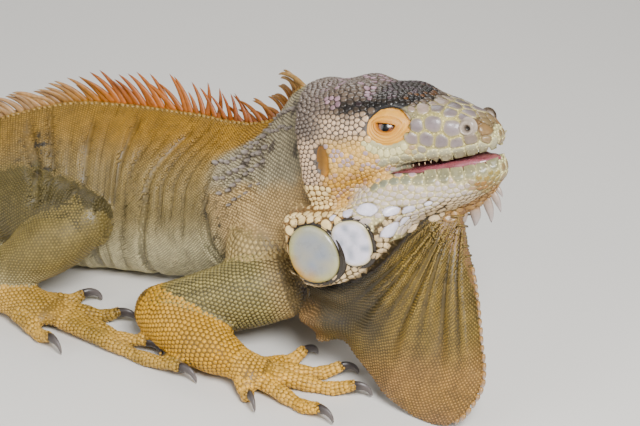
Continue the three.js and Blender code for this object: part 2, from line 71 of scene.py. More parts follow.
def scatter(p, size, seed=0):
    # smooth noise from -1 to 1: every corner of a cubic lattice has a hashed value, blended by 3t^2 - 2t^3
    q = np.asarray(p, float) / size
    cell = np.floor(q).astype(np.int64)
    f = q - cell
    f = f * f * (3 - 2 * f)
    total = 0
    for dx in (0, 1):
        for dy in (0, 1):
            for dz in (0, 1):
                x, y, z = cell[..., 0] + dx, cell[..., 1] + dy, cell[..., 2] + dz
                h = x * 73856093 ^ y * 19349663 ^ z * 83492791
                h = (h ^ (seed * 7919)) * 1274126177
                value = ((h >> 15) & 0xFFFF) / 32767.5 - 1
                weight = 1
                for axis, d in enumerate((dx, dy, dz)):
                    weight = weight * (f[..., axis] if d else 1 - f[..., axis])
                total = total + value * weight
    return total


def dice(count, seed):
    # even random numbers from 0 to 1, always the same for a seed
    return np.random.default_rng(seed).random(count)


def sameShape(*values):
    # numbers or arrays spread out to one common shape
    return np.broadcast_arrays(*(np.asarray(v, float) for v in values))


def spline(stations, u):
    # Catmull-Rom through evenly counted rows: p1 + half of ((p2 - p0) t + bend)
    s = np.asarray(stations, float)
    last = len(s) - 1
    u = np.asarray(u, float)
    i = np.clip(np.floor(u).astype(int), 0, last - 1)
    t = (u - i)[..., None]
    p1, p2 = s[i], s[i + 1]
    p0 = np.where((i > 0)[..., None], s[np.maximum(i - 1, 0)], 2 * p1 - p2)
    p3 = np.where((i < last - 1)[..., None], s[np.minimum(i + 2, last)], 2 * p2 - p1)
    bend = (2 * p0 - 5 * p1 + 4 * p2 - p3) * t * t + (3 * p1 - p0 - 3 * p2 + p3) * t**3
    return p1 + 0.5 * ((p2 - p0) * t + bend)


def axesAt(stations, u):
    # centre, direction onwards, side (level) and up of a line of stations
    centre = spline(stations, u)[..., :3]
    along = spline(stations, np.asarray(u) + 0.02)[..., :3] - spline(stations, np.asarray(u) - 0.02)[..., :3]
    along = unit(along)
    side = unit(np.cross([0.0, 0.0, 1.0], along))
    return centre, along, side, np.cross(along, side)


def loftPoint(stations, u, angle, section=None, grow=0.0, shrink=1.0, shift=0.0):
    # centre + side * a * (half width + grow) + up * b * (height + grow), (a, b) round the section's outline
    u, angle = sameShape(u, angle)
    row = spline(stations, u)
    centre, along, side, up = axesAt(stations, u)
    a, b = section(angle, u) if section else (np.cos(angle), np.sin(angle))
    tall = np.where(b > 0, row[..., 4], row[..., -1])
    across, above = a * (row[..., 3] + grow) * shrink, b * (tall + grow) * shrink
    return centre + along * shift + side * across[..., None] + up * above[..., None]


def tube(rings):
    # rings of equally many points as a closed skin, a point in the middle of each end, faces outwards
    count, around, _ = rings.shape
    points = np.concatenate([rings.reshape(-1, 3), rings[0].mean(0)[None], rings[-1].mean(0)[None]])
    c = np.arange(around)
    n = (c + 1) % around
    r = np.arange(count - 1)[:, None] * around
    quads = np.stack([r + c, r + n, r + around + n, r + around + c], -1).reshape(-1, 4)
    end = (count - 1) * around
    tris = np.concatenate([
        np.stack([n, c, np.full(around, count * around)], -1),
        np.stack([end + c, end + n, np.full(around, count * around + 1)], -1),
    ])
    a, b, d = points[quads[:, 0]], points[quads[:, 1]], points[quads[:, 2]]
    if np.einsum("ij,ij->", a - points.mean(0), np.cross(b - a, d - a)) < 0:
        quads, tris = quads[:, ::-1], tris[:, ::-1]
    return points, [quads, tris]


def loftTube(point, rows, columns, start, end, domes=(0.0, 0.0), steps=6):
    # a closed loft of point(u, angle, shrink, shift); each end bulges by its dome over a quarter turn
    angle = 2 * np.pi * np.arange(columns) / columns
    quarter = (np.arange(steps) + 0.5) / steps * np.pi / 2
    rings = []
    if domes[0]:
        rings += [point(start, angle, np.sin(q), -domes[0] * np.cos(q))[None] for q in quarter]
    rings.append(point(np.linspace(start, end, rows)[:, None], angle[None, :], 1.0, 0.0))
    if domes[1]:
        rings += [point(end, angle, np.sin(q), domes[1] * np.cos(q))[None] for q in quarter[::-1]]
    return tube(np.concatenate(rings))


# the animal's sizes, the same as the solids'

animal = {
    "trunk": [  # x, y, z, half width, height up, height down, from the back of the skull to the vent
        [157, -86, 116, 27, 49, 38], [139, -70, 98, 31, 49, 40], [117, -47, 79, 39, 41, 48],
        [88, -27, 63, 45, 45, 50], [52, -10, 54, 48, 50, 52], [12, 0, 48, 50, 54, 51],
        [-30, 0, 46, 51, 55, 49], [-68, -8, 43, 45, 50, 45], [-102, -18, 37, 36, 42, 38],
    ],
    "vent": (-135, -28),
    "tailLength": 930,
    "tailCount": 10,
    "inset": 0.55,  # how deep the skin lies under the outer faces of its scales
    "voxel": 2.1,
    # x, and the skin's fineness there
    "finer": ([-1100, -170, 90, 130, 260], [0.42, 0.85, 0.95, 1.28, 1.28]),
}
ventAt = len(animal["trunk"])


def tailStation(k):
    # halves quickly past the swollen base and then thins evenly; lies on the floor in a slow bend
    u = (k / animal["tailCount"]) ** 1.35
    width = 2.0 + 11.0 * (1 - u) + 13 * (1 - u) ** 4
    x = animal["vent"][0] - animal["tailLength"] * u
    y = animal["vent"][1] - 230 * u + 520 * u**2 - 140 * u**3
    return [x, y, 0.99 * width - 0.15, width, 1.15 * width, 1.1 * width]


bodyLine = np.array(animal["trunk"] + [tailStation(k) for k in range(animal["tailCount"] + 1)], float)
tailEnd = len(bodyLine) - 1.0


def trunkSection(angle, u):
    # an ellipse whose top leans in to a low ridge and whose underside spreads
    c, s = np.cos(angle), np.sin(angle)
    ridge = 0.07 * np.exp(-((np.arccos(np.clip(s, -1, 1)) / 0.25) ** 2))
    onTail = rise(u, ventAt - 1, ventAt + 1)
    lean, spread = mix(0.16, 0.04, onTail), mix(0.22, 0.05, onTail)
    return np.where(s > 0, c * (1 - lean * s * s), c * (1 + spread * s * s)), np.where(s > 0, s + ridge, s)


def bodyPoint(u, angle, shrink=1.0, shift=0.0, grow=0.0):
    # the loft of neck, trunk and tail
    return loftPoint(bodyLine, u, angle, trunkSection, grow, shrink, shift)


head = {
    "place": (157, -86, 127), "turn": -14.2, "rise": 14.4, "roll": -9,  # degrees
    "lipSquare": 4.4,
    "skull": [  # x, crown, half width, upper lip
        [-14, 39, 33, -40], [2, 37, 35.5, -33], [22, 34.5, 34, -18], [40, 31, 29.5, -9], [56, 25, 23.5, -8],
        [70, 18.5, 18, -6.5], [81, 12.5, 13, -5], [88, 6, 8, -4],
    ],
    "jaw": [  # x, lower lip, half width, underside
        [-26, -38, 29, -62], [-11, -30.5, 37.5, -71], [6, -22.5, 39.5, -64], [22, -12, 36.5, -53],
        [40, -10, 30, -44], [56, -12, 24, -38], [69, -12.6, 18.5, -33.5], [80, -11.8, 13.5, -29],
        [87, -10.4, 8, -23],
    ],
    "forms": [  # x, y, z, reach, height: swellings and hollows, on both sides
        [14, 17, 33, 11, 3.5], [40, 21, 26, 8, 2.5], [36, 27, 14, 9, -1.2], [78, 11, 7, 5, 2.5],
        [0, 35, 0, 8, -2],
        [26, 16, 34, 5, -2.2],  # notch behind the brow
        [0, 14, 38, 6, -1.8],  # notch in front of the nape
        [60, 9, 24, 7, -1.6],  # stop in front of the brow
        [63, 17, 16, 6, 1.2],  # ridge from brow to nostril
        [8, 37, -34, 15, 2.0],  # jowl muscle
        [46, 26, 2, 6, 0.8],  # shelf under the eye
    ],
}


def headAxes():
    # forward, left and up of the head: turned, raised, then rolled about forward
    turn, lift, roll = (math.radians(head[k]) for k in ("turn", "rise", "roll"))
    forward = np.array([math.cos(turn) * math.cos(lift), math.sin(turn) * math.cos(lift), math.sin(lift)])
    left = np.array([-math.sin(turn), math.cos(turn), 0.0])
    up = np.cross(forward, left)
    spin = lambda v: v * math.cos(roll) + np.cross(forward, v) * math.sin(roll)
    return np.stack([forward, spin(left), spin(up)])


headTurned = headAxes()
headPlace = np.array(head["place"], float)


def fromHead(p):
    # place + p in the head's axes
    return np.asarray(p, float) @ headTurned + headPlace


def toHead(p):
    # the way back: (p - place) in the turned axes
    return (np.asarray(p, float) - headPlace) @ headTurned.T


def shellPoint(line, square, pinch, lips, u, angle, shrink=1.0, shift=0.0, grow=0.0):
    # a squared ellipse between two heights, squarer at the lips, pinched below, pushed out round the forms
    u, angle = sameShape(u, angle)
    x, top, half, bottom = np.moveaxis(spline(line, u), -1, 0)
    middle, tall = (top + bottom) / 2, (top - bottom) / 2
    c, s = np.cos(angle), np.sin(angle)
    power = 2 / mix(square, head["lipSquare"], rise(x, 15, 40) * (lips * s > 0))
    a, b = np.sign(c) * np.abs(c) ** power, np.sign(s) * np.abs(s) ** power
    narrow = 1 - pinch * np.where(b > 0, 0, b * b)
    p = np.stack([x + shift, a * half * narrow * shrink, middle + b * tall * shrink], -1)
    out = unit(np.stack([0 * x, p[..., 1], p[..., 2] - middle], -1))
    lift = np.full(x.shape, float(grow))
    for fx, fy, fz, reach, height in head["forms"]:
        near = (p[..., 0] - fx) ** 2 + (np.abs(p[..., 1]) - fy) ** 2 + (p[..., 2] - fz) ** 2
        lift = lift + height * np.exp(-near / reach**2)
    return fromHead(p + out * (lift * np.minimum(np.asarray(shrink) * 2, 1))[..., None])


def skullPoint(u, angle, shrink=1.0, shift=0.0, grow=0.0):
    # the upper shell, squared at the upper lip
    return shellPoint(head["skull"], 2.5, 0.04, -1, u, angle, shrink, shift, grow)


def jawPoint(u, angle, shrink=1.0, shift=0.0, grow=0.0):
    # the lower shell, pinched below and squared at the lower lip
    return shellPoint(head["jaw"], 2.3, 0.3, 1, u, angle, shrink, shift, grow)


dewlap = {
    "lean": 0.24,
    "root": [[62, -30], [44, -38], [22, -46], [2, -54], [-18, -58]],
    "edge": [
        [62, -38], [68, -68], [71, -100], [70, -131], [47, -150], [16, -136], [-10, -107], [-30, -106],
        [-37, -87],
    ],
    "foldCount": 8.5,
    "foldDepth": 2.3,
}


def dewlapPoint(u, angle, grow=0.0):
    # u from chin to chest; the angle goes down one face and up the other; folds fan out from under the chin
    u, angle = sameShape(u, angle)
    v = 1 - np.abs(1 - angle / np.pi)
    side = np.where(angle < np.pi, 1.0, -1.0)
    root = spline(dewlap["root"], u * 4)
    edge = spline(dewlap["edge"], u * 8)
    x, z = np.moveaxis(mix(root, edge, v), -1, 0)
    front = rise(u, 0, 0.25) * (1 - 0.5 * rise(u, 0.8, 1))
    half = 2.2 + (3 + 6 * front) * np.sqrt(np.maximum(1 - v * v, 0)) * (0.35 + 0.65 * front)
    away = np.hypot(x - 64, z + 30)
    turn = np.arctan2(-(z + 30), 64 - x)
    ripple = np.sin(turn * dewlap["foldCount"] * 2.2 + 0.6 * np.sin(turn * 7) + 0.012 * away)
    fold = dewlap["foldDepth"] * ripple * rise(away, 8, 36) * (1 - 0.75 * rise(away, 70, 112))
    rear = rise(u, 0.62, 0.95)
    crumple = 3.2 * np.sin(z * 0.33 + x * 0.10) * rear * rise(v, 0.1, 0.5)
    half = (half + grow) * np.sqrt(np.clip(1.0001 - v**10, 0, 1))
    y = dewlap["lean"] * (z + 25) + side * half + fold + crumple
    x = x + 2.5 * np.sin(z * 0.30 + 1.0) * rear * v
    return fromHead(np.stack([x, y, z], -1))


chin = {
    "fold": [[54, -41], [63, -40], [71, -37.5], [78, -32.5], [84, -27.5]],  # x and height of its free edge
    "half": 2, "deep": 10,
    # station, length and half breadth of each
    "spikes": [[0.9, 7.5, 2.7], [1.75, 9, 3.1], [2.75, 12, 2.6], [3.4, 10.5, 2.1], [3.9, 5, 1.3]],
}


def chinPoint(u, angle, shrink=1.0, shift=0.0, grow=0.0):
    # a fold of skin under the chin, a squared upright ellipse whose foot follows the free edge
    u, angle = sameShape(u, angle)
    x, z = np.moveaxis(spline(chin["fold"], u), -1, 0)
    tall = chin["deep"] / 2
    across = np.sign(np.cos(angle)) * np.sqrt(np.abs(np.cos(angle)))
    height = np.sign(np.sin(angle)) * np.sqrt(np.abs(np.sin(angle)))
    y = (chin["half"] + grow) * shrink * across
    return fromHead(np.stack([x + shift, y, z + tall + (tall + grow) * shrink * height], -1))


limbs = {  # stations x, y, z, half width, half height; then roots and ends of the five digits
    "fore_right": {
        "shoulder": ((106, -79, 52), (23, 18, 22)),
        "upper": [
            [120, -92, 41, 18, 21], [98, -97, 34.5, 19.5, 21], [70, -101, 26, 17, 18],
            [46, -100, 19.5, 14, 14.5],
        ],
        "lower": [
            [46, -100, 19.5, 14, 14.5], [64, -112, 18, 17.5, 17], [85, -126, 15, 15.5, 14],
            [104, -135, 11.5, 11, 9.6],
        ],
        "pad": [[104, -135, 11.5, 11, 9.6], [112, -136.5, 9.4, 12, 8.2], [119, -136.5, 7.6, 11.8, 7]],
        "ends": [[135, -107], [159, -119], [170, -137], [156, -163], [116, -157]],
        "roots": [[116, -127, 6.8], [121, -131, 6.8], [122, -136, 6.8], [118, -142, 6.8], [108, -144, 6.8]],
        "thick": 5, "claw": 8.5, "parts": ("upper_arm", "forearm", "hand"),
    },
    "fore_left": {
        "shoulder": ((124, -10, 54), (20, 20, 22)),
        "upper": [
            [128, -18, 46, 18, 20], [118, 2, 38, 19.5, 20.5], [106, 24, 28, 17, 17.5],
            [96, 42, 19.5, 14, 14.5],
        ],
        "lower": [
            [96, 42, 19.5, 14, 14.5], [114, 33, 18, 16, 16], [133, 22, 15, 13, 13], [151, 12, 11.5, 10, 9.5]
        ],
        "pad": [[151, 12, 11.5, 10, 9.5], [159, 8, 9.4, 11.5, 8.2], [166, 5, 7.6, 11.5, 7]],
        "ends": [[185, -26], [206, -17], [213, 2], [202, 22], [165, 31]],
        "roots": [[166, -4, 6.8], [170, 0, 6.8], [170, 5, 6.8], [167, 10, 6.8], [156, 15, 6.8]],
        "thick": 5, "claw": 8.5, "parts": ("upper_arm", "forearm", "hand"),
    },
    "hind_right": {
        "upper": [
            [-82, -30, 44, 23, 24], [-54, -44, 51, 23, 24], [-27, -56, 55, 19, 20], [-4, -63, 55, 15, 16]
        ],
        "lower": [
            [-4, -63, 55, 15, 16], [-25, -70, 42, 19, 19], [-48, -76, 27, 15.5, 15.5],
            [-74, -82, 15, 10.5, 10],
        ],
        "pad": [
            [-74, -82, 15, 10.5, 10], [-56, -86, 10.5, 13, 9], [-37, -90, 9, 13.5, 8.4],
            [-22, -94, 7.6, 13, 7],
        ],
        "ends": [[-11, -69], [18, -86], [44, -115], [71, -138], [-12, -122]],
        "roots": [[-30, -80, 6.8], [-18, -87, 6.8], [-15, -93, 6.8], [-18, -100, 6.8], [-42, -99, 6.8]],
        "thick": 5.2, "claw": 10, "parts": ("thigh", "shin", "foot"),
    },
    "hind_left": {
        "upper": [[-88, 6, 44, 23, 24], [-62, 27, 50, 23, 24], [-37, 47, 53, 19, 20], [-15, 63, 52, 15, 16]],
        "lower": [
            [-15, 63, 52, 15, 16], [-37, 68, 40, 18, 18], [-61, 71, 26, 15, 15], [-87, 74, 15, 10.5, 10]
        ],
        "pad": [
            [-87, 74, 15, 10.5, 10], [-70, 79, 10.5, 13, 9], [-52, 85, 9, 13.5, 8.4], [-38, 91, 7.6, 13, 7]
        ],
        "ends": [[-26, 66], [4, 83], [30, 109], [54, 136], [-27, 122]],
        "roots": [[-46, 76, 6.8], [-33, 84, 6.8], [-30, 91, 6.8], [-34, 98, 6.8], [-57, 95, 6.8]],
        "thick": 5.2, "claw": 10, "parts": ("thigh", "shin", "foot"),
    },
}


def digitLine(root, end, thick):
    # from the palm to the root of the claw: it arches, rests on its pad and lifts its last joint
    share = np.array([0, 0.4, 0.72, 1])
    r = thick * (1 - 0.26 * share)
    level = math.cos(math.pi / 5)
    z = np.array([root[2], r[1] + 0.4, r[2] * level - 0.3, r[3] + 3.2])
    return np.stack([mix(root[0], end[0], share), mix(root[1], end[1], share), z, r, r], -1)


def limbPoint(line):
    # a plain loft of ellipses along the stations
    line = np.asarray(line, float)

    def point(u, angle, shrink=1.0, shift=0.0, grow=0.0):
        return loftPoint(line, u, angle, None, grow, shrink, shift)

    return point


def digitPoint(line):
    # a digit swells at its two joints and at its pad
    line = np.asarray(line, float)

    def point(u, angle, shrink=1.0, shift=0.0, grow=0.0):
        swell = 0.45 * bell(u, 1.15, 0.22) + 0.5 * bell(u, 2.1, 0.25) - 0.3 * bell(u, 1.65, 0.2)
        return loftPoint(line, u, angle, None, grow + swell, shrink, shift)

    return point


# meshes


tonal = {"depth": 1.34, "level": 0.95}  # paints are this much deeper than the hide looks under soft light


def makeMesh(name, points, faces):
    # points in millimetres; faces are arrays of quads, triangles or both
    mesh = bpy.data.meshes.new(name)
    points = np.asarray(points, np.float32) / 1000
    sizes = np.concatenate([np.full(len(f), f.shape[1]) for f in faces]) if faces else np.zeros(0, int)
    mesh.vertices.add(len(points))
    mesh.vertices.foreach_set("co", points.ravel())
    if len(sizes):
        corners = np.concatenate([np.ascontiguousarray(f).reshape(-1) for f in faces]).astype(np.int32)
        mesh.loops.add(len(corners))
        mesh.loops.foreach_set("vertex_index", corners)
        mesh.polygons.add(len(sizes))
        mesh.polygons.foreach_set("loop_start", (np.cumsum(sizes) - sizes).astype(np.int32))
        mesh.polygons.foreach_set("use_smooth", np.ones(len(sizes), bool))
    mesh.update(calc_edges=True)
    return mesh


def putIn(name, data):
    # a new object in the scene
    thing = bpy.data.objects.new(name, data)
    bpy.context.scene.collection.objects.link(thing)
    return thing


def makeObject(name, points, faces):
    # a mesh, put into the scene
    return putIn(name, makeMesh(name, points, faces))


def everyValue(items, key, kind=np.float32, width=1):
    # one property of every item, in one array
    found = np.empty(len(items) * width, kind)
    items.foreach_get(key, found)
    return found


def paint(piece, colour, layer="hide"):
    # one colour, in linear light, for every vertex, deepened as grey + (colour - grey) * depth
    colour = np.asarray(colour, float)
    if layer == "hide":
        grey = colour @ [0.2126, 0.7152, 0.0722]
        colour = np.maximum(grey[:, None] + (colour - grey[:, None]) * tonal["depth"], 0.003) * tonal["level"]
    attribute = piece.data.color_attributes.new(name=layer, type="FLOAT_COLOR", domain="POINT")
    rgba = np.ones((len(piece.data.vertices), 4), np.float32)
    rgba[:, :3] = colour
    attribute.data.foreach_set("color", rgba.ravel())


def unwrap(piece, perVertex, layer="OFBake"):
    # a UV map from a coordinate of every vertex
    corners = everyValue(piece.data.loops, "vertex_index", np.int32)
    uv = piece.data.uv_layers.new(name=layer)
    uv.data.foreach_set("uv", np.asarray(perVertex, np.float32)[corners].ravel())


def evaluated(piece):
    # the points of a piece after its modifiers, in millimetres, and the corners of its faces
    done = piece.evaluated_get(bpy.context.evaluated_depsgraph_get())
    mesh = done.to_mesh()
    points = everyValue(mesh.vertices, "co", width=3)
    corners = everyValue(mesh.loops, "vertex_index", np.int32)
    done.to_mesh_clear()
    return points.reshape(-1, 3).astype(float) * 1000, corners


def hexColour(text):
    # sRGB hex to linear light
    c = np.array([int(text[i : i + 2], 16) for i in (0, 2, 4)]) / 255
    return np.where(c <= 0.04045, c / 12.92, ((c + 0.055) / 1.055) ** 2.4)


# one skin over all the flesh


def fleshTubes():
    # every closed loft of flesh, its outer face sunk by the inset: the solids under the scales
    inset = -animal["inset"]
    inner = lambda point: lambda u, angle, shrink=1.0, shift=0.0: point(u, angle, shrink, shift, grow=inset)
    tubes = [
        loftTube(inner(bodyPoint), 760, 120, 0, tailEnd),
        loftTube(inner(skullPoint), 150, 110, 0, 7, (0, 2.5)),
        loftTube(inner(jawPoint), 150, 100, 0, 8, (7, 3)),
        loftTube(chinPoint, 50, 40, 0, 4, (1, 1)),
        tube(dewlapPoint(np.linspace(0, 1, 130)[:, None], np.arange(160)[None] * np.pi / 80, inset)),
    ]
    for limb in limbs.values():
        if "shoulder" in limb:
            centre, radii = limb["shoulder"]
            a, b = np.linspace(0.05, np.pi - 0.05, 40)[:, None], np.arange(60)[None] * np.pi / 30
            ball = np.stack([np.sin(a) * np.cos(b), np.sin(a) * np.sin(b), np.cos(a) + 0 * b], -1)
            tubes.append(tube(np.array(centre) + ball * (np.array(radii) + inset)))
        for key in ("upper", "lower", "pad"):
            line = np.asarray(limb[key], float)
            domes = (0.8 * line[0, 3], 0.8 * line[-1, 3])
            tubes.append(loftTube(inner(limbPoint(line)), 70, 48, 0, len(line) - 1, domes))
        for root, end in zip(limb["roots"], limb["ends"]):
            line = digitLine(root, end, limb["thick"])
            domes = (0.8 * line[0, 3], 0.8 * line[-1, 3])
            tubes.append(loftTube(inner(digitPoint(line)), 60, 28, 0, 3, domes))
    return tubes


def joined(tubes):
    # several closed meshes in one list of points and faces
    points, quads, tris, start = [], [], [], 0
    for p, (q, t) in tubes:
        points.append(p)
        quads.append(q + start)
        tris.append(t + start)
        start += len(p)
    return np.concatenate(points), [np.concatenate(quads), np.concatenate(tris)]


def stretch(points, back=False):
    # x becomes the integral of the fineness over x, y and z are multiplied by it; or all that undone
    knots, fine = animal["finer"]
    x = np.linspace(knots[0], knots[-1], 800)
    far = np.cumsum(np.interp(x, knots, fine)) * (x[1] - x[0])
    out = points.copy()
    out[:, 0] = np.interp(points[:, 0], far, x) if back else np.interp(points[:, 0], x, far)
    wide = np.maximum(np.interp(out[:, 0] if back else points[:, 0], knots, fine), 0.95)[:, None]
    out[:, 1:] = points[:, 1:] / wide if back else points[:, 1:] * wide
    return out


fleshPoints, fleshFaces = joined(fleshTubes())
raw = makeObject("raw", stretch(fleshPoints), fleshFaces)
union = raw.modifiers.new("Union", "REMESH")
union.mode = "VOXEL"
union.voxel_size = animal["voxel"] / 1000
skinPoints, corners = evaluated(raw)
skinPoints = stretch(skinPoints, back=True)
skinFaces = corners.reshape(-1, 4)
bpy.data.objects.remove(raw)
print("skin:", len(skinPoints), "points,", len(skinFaces) * 2, "triangles")

edges = np.concatenate([skinFaces[:, [k, (k + 1) % 4]] for k in range(4)])
edges = edges[edges[:, 0] < edges[:, 1]]


def neighbourMean(points):
    # the mean of every point's neighbours along the edges
    a, b = edges.T
    count = np.bincount(a, minlength=len(points)) + np.bincount(b, minlength=len(points))
    most = len(points)
    total = [np.bincount(a, points[b, k], most) + np.bincount(b, points[a, k], most) for k in range(3)]
    total = np.stack(total, -1)
    return total / np.maximum(count, 1)[:, None]


def faceNormals(points, faces):
    # the cross product of the diagonals
    return np.cross(points[faces[:, 2]] - points[faces[:, 0]], points[faces[:, 3]] - points[faces[:, 1]])


def pointNormals(points, faces):
    # the sum of the normals of the faces round each point, made unit
    n = faceNormals(points, faces)
    total = np.stack([
        sum(np.bincount(faces[:, c], n[:, k], len(points)) for c in range(4)) for k in range(3)
    ], -1)
    return unit(total)


def soften(points, weight, rounds):
    # each round moves a point towards its neighbours' mean by its weight
    for _ in range(rounds):
        points = points + (neighbourMean(points) - points) * weight[:, None]
    return points


def nearest(p, spots):
    # 1 at the middle of any of the spots x, y, z, reach, and less away from them
    total = np.zeros(len(p))
    for *middle, reach in spots:
        total = np.maximum(total, np.exp(-((p - middle) ** 2).sum(1) / reach**2))
    return total


softJoints = [
    (112, -88, 50, 22), (124, -14, 52, 24), (-70, -38, 52, 24), (-76, 16, 50, 24), (46, -100, 20, 9),
    (96, 42, 20, 9), (-4, -63, 55, 9), (-15, 63, 52, 9), (104, -135, 11, 9), (151, 12, 11, 9),
    (-74, -82, 15, 9), (-87, 74, 15, 9), (140, -60, 140, 22), (128, -80, 120, 20), (150, -60, 120, 20),
    (138, -95, 95, 16), (150, -50, 90, 20),
]
even = np.full(len(skinPoints), 0.5)
for turn in range(4):  # smooths the voxel steps and gives back most of what that shrinks
    skinPoints = soften(skinPoints, even, 1)
    skinPoints = soften(skinPoints, -1.04 * even, 1)
skinPoints = soften(skinPoints, 0.6 * nearest(skinPoints, softJoints), 22)
skinPoints = soften(skinPoints, even, 2)


# folds of the hide

lineAt = np.linspace(0, 10, 400)
lineCentre, _, lineSide, lineUp = axesAt(bodyLine, lineAt)


def bodyPlace(p):
    # station along the body, angle round it in degrees and distance from it, by the nearest of 400 points
    found = np.empty(len(p), int)
    for start in range(0, len(p), 20000):
        q = p[start : start + 20000]
        gap = (q**2).sum(1)[:, None] - 2 * q @ lineCentre.T + (lineCentre**2).sum(1)[None]
        found[start : start + 20000] = gap.argmin(1)
    d = p - lineCentre[found]
    across, tall = (d * lineSide[found]).sum(1), (d * lineUp[found]).sum(1)
    return lineAt[found], np.degrees(np.arctan2(tall, across)), np.hypot(across, tall)


# station at the top of the fold, shift tailwards at mid flank and near the belly, top, bottom, depth, width
creases = [
    (2.95, 0.45, 0.75, 72, -20, 0.7, 2.2), (3.2, 0.48, 0.82, 74, 5, 0.8, 2.2),
    (3.45, 0.5, 0.86, 78, -5, 0.8, 2.4), (3.72, 0.55, 0.92, 72, -60, 1.7, 2.8),
    (4.0, 0.52, 0.9, 66, 20, 0.6, 2.4), (4.3, 0.42, 0.8, 60, -50, 0.9, 3.0),
    (4.82, 0.14, 0.4, 80, 12, 1.3, 2.8), (5.1, 0.1, 0.25, 50, -55, 0.8, 3.2),
    (5.38, 0.02, 0.12, 78, -60, 0.6, 3.0), (5.65, 0.0, -0.05, 76, -50, 1.2, 3.0),
    (5.95, -0.05, -0.1, 66, 0, 0.5, 2.6), (6.36, -0.12, -0.2, 84, 5, 1.3, 2.8),
    (6.72, -0.22, -0.3, 76, 10, 2.2, 3.4), (2.6, 0.3, 0.45, 40, -30, 0.9, 2.4),
]


def creaseDepth(u, angle, flip):
    # how far the hide sinks: a bell across each crease, raised a little on both sides of it
    total = np.zeros(len(u))
    a = np.where(flip, 180 - angle, angle)
    a = np.where(a > 180, a - 360, a)
    for top, atFlank, atBelly, high, low, depth, width in creases:
        below = atFlank + (atBelly - atFlank) * rise(-a, -20, 40)
        shift = np.where(a > 20, atFlank * (1 - rise(a, 20, 80)), below)
        d = (u - top - shift) * 36 / width
        ends = rise(a, low - 14, low + 10) * (1 - rise(a, high - 10, high + 8))
        total += 1.6 * depth * ends * (np.exp(-d * d) - 0.35 * np.exp(-((np.abs(d) - 2.1) ** 2)))
    return total


bodyU, bodyAngle, bodyOut = bodyPlace(skinPoints)
onTrunk = (bodyU > 1.5) & (bodyU < 8.5) & (skinPoints[:, 2] > 2)
halfWidth = spline(bodyLine, bodyU)[:, 3]
onTrunk &= bodyOut < halfWidth * 1.45
flip = bodyAngle > 90  # the left flank, past the ridge
flip |= bodyAngle < -90
sink = creaseDepth(bodyU, bodyAngle, flip) * onTrunk
sideAngle = np.where(flip, 180 - bodyAngle, bodyAngle)
sideAngle = np.where(sideAngle > 180, sideAngle - 360, sideAngle)
drape = np.interp(bodyU, [2.5, 3.7, 4.3, 4.9, 5.6, 6.8], [0.35, 0.6, 0.45, 0.14, 0, -0.2])
run = (bodyU - drape * (1 - rise(sideAngle, 20, 80) + 0.8 * rise(-sideAngle, -20, 40))) * 36
patches = np.clip(0.7 + scatter(skinPoints, 18, 4), 0.2, 1.2)
wrinkle = 0.34 * np.sin(run * 1.2 + 2.5 * scatter(skinPoints, 22, 3)) * patches
skinNormals = pointNormals(skinPoints, skinFaces)
shoulderAway = np.linalg.norm(skinPoints - [96, -84, 60], axis=1)
arcs = 0.9 * np.sin(shoulderAway * 0.95) * rise(shoulderAway, 20, 28) * (1 - rise(shoulderAway, 40, 50))
arcs *= (skinPoints[:, 1] < -40) & (bodyU > 1.0) & (bodyU < 3.2)
skinPoints += skinNormals * ((wrinkle * onTrunk) - sink + arcs * onTrunk)[:, None]

orbit = {"centre": (40.2, 14.4), "long": 12.9, "tall": 11.5}  # the rim round the lids, in the head's frame
# where the neck breaks off above the flap: x, and its height in the head's frame
throatFold = [
    [-29, -20, -11, 5, 15, 24, 32.4, 40.5, 51, 62],
    [-64, -70, -71.5, -69, -64.5, -58, -50.5, -43.2, -36.5, -31],
]
shields = {  # the two great plates under the ear; a plane is how far out, and its slope ahead and upward
    "ear": {
        "at": (-9.2, -49.5), "long": 15.2, "tall": 16.2, "turn": 8, "square": 2.15,
        "plane": (39.9, 0.03, 0.05),
    },
    "cheek": {
        "at": (14.0, -45.0), "long": 11.0, "tall": 13.0, "turn": 6, "square": 2.4,
        "plane": (37.9, -0.10, 0.13),
    },
}


def planeOut(shield, x, z):
    # out + ahead (x - middle) + upward (z - middle)
    (middleX, middleZ), (out, ahead, upward) = shield["at"], shield["plane"]
    return out + ahead * (x - middleX) + upward * (z - middleZ)


def orbitAway(x, z):
    # 0 in the middle of the orbit and 1 on its rim
    return np.hypot((x - orbit["centre"][0]) / orbit["long"], (z - orbit["centre"][1]) / orbit["tall"])


def flapFold(q):
    # a fan of folds that spreads from under the chin over the upper part of the flap, from -1 to 1
    away, turn = np.hypot(q[:, 0] - 64, q[:, 2] + 30), np.arctan2(-(q[:, 2] + 30), 64 - q[:, 0])
    wave = np.sin(46 * turn + 1.4 * np.sin(5 * turn + 0.04 * away) + 0.015 * away)
    return wave * rise(away, 10, 26) * rise(-away, -100, -62)


# the flap is folded, then the skin steps back where lids, eardrums and nostrils lie
x, y, z = toHead(skinPoints).T
aboveFold = z - np.interp(x, *throatFold)
onFlap = rise(-aboveFold, 1, 6) * (np.abs(y - dewlap["lean"] * (z + 25)) < 16)
y = y + 1.5 * flapFold(np.stack([x, y, z], -1)) * onFlap * rise(x, -20, 0)
headSide = np.abs(y)
inSocket = (1 - rise(orbitAway(x, z), 0.66, 0.84)) * (headSide > 14) * (z > -4)
inEar = (1 - rise(np.hypot((x - 0.5) / 3.6, (z + 1) / 8.6), 0.8, 1.25)) * (headSide > 24)
inNose = (1 - rise(np.hypot(x - 77.4, z - 8.2), 1.4, 3.6)) * (headSide > 7)
out = mix(headSide, np.minimum(headSide, 19.0), inSocket) - 2.2 * inEar - 3.4 * inNose
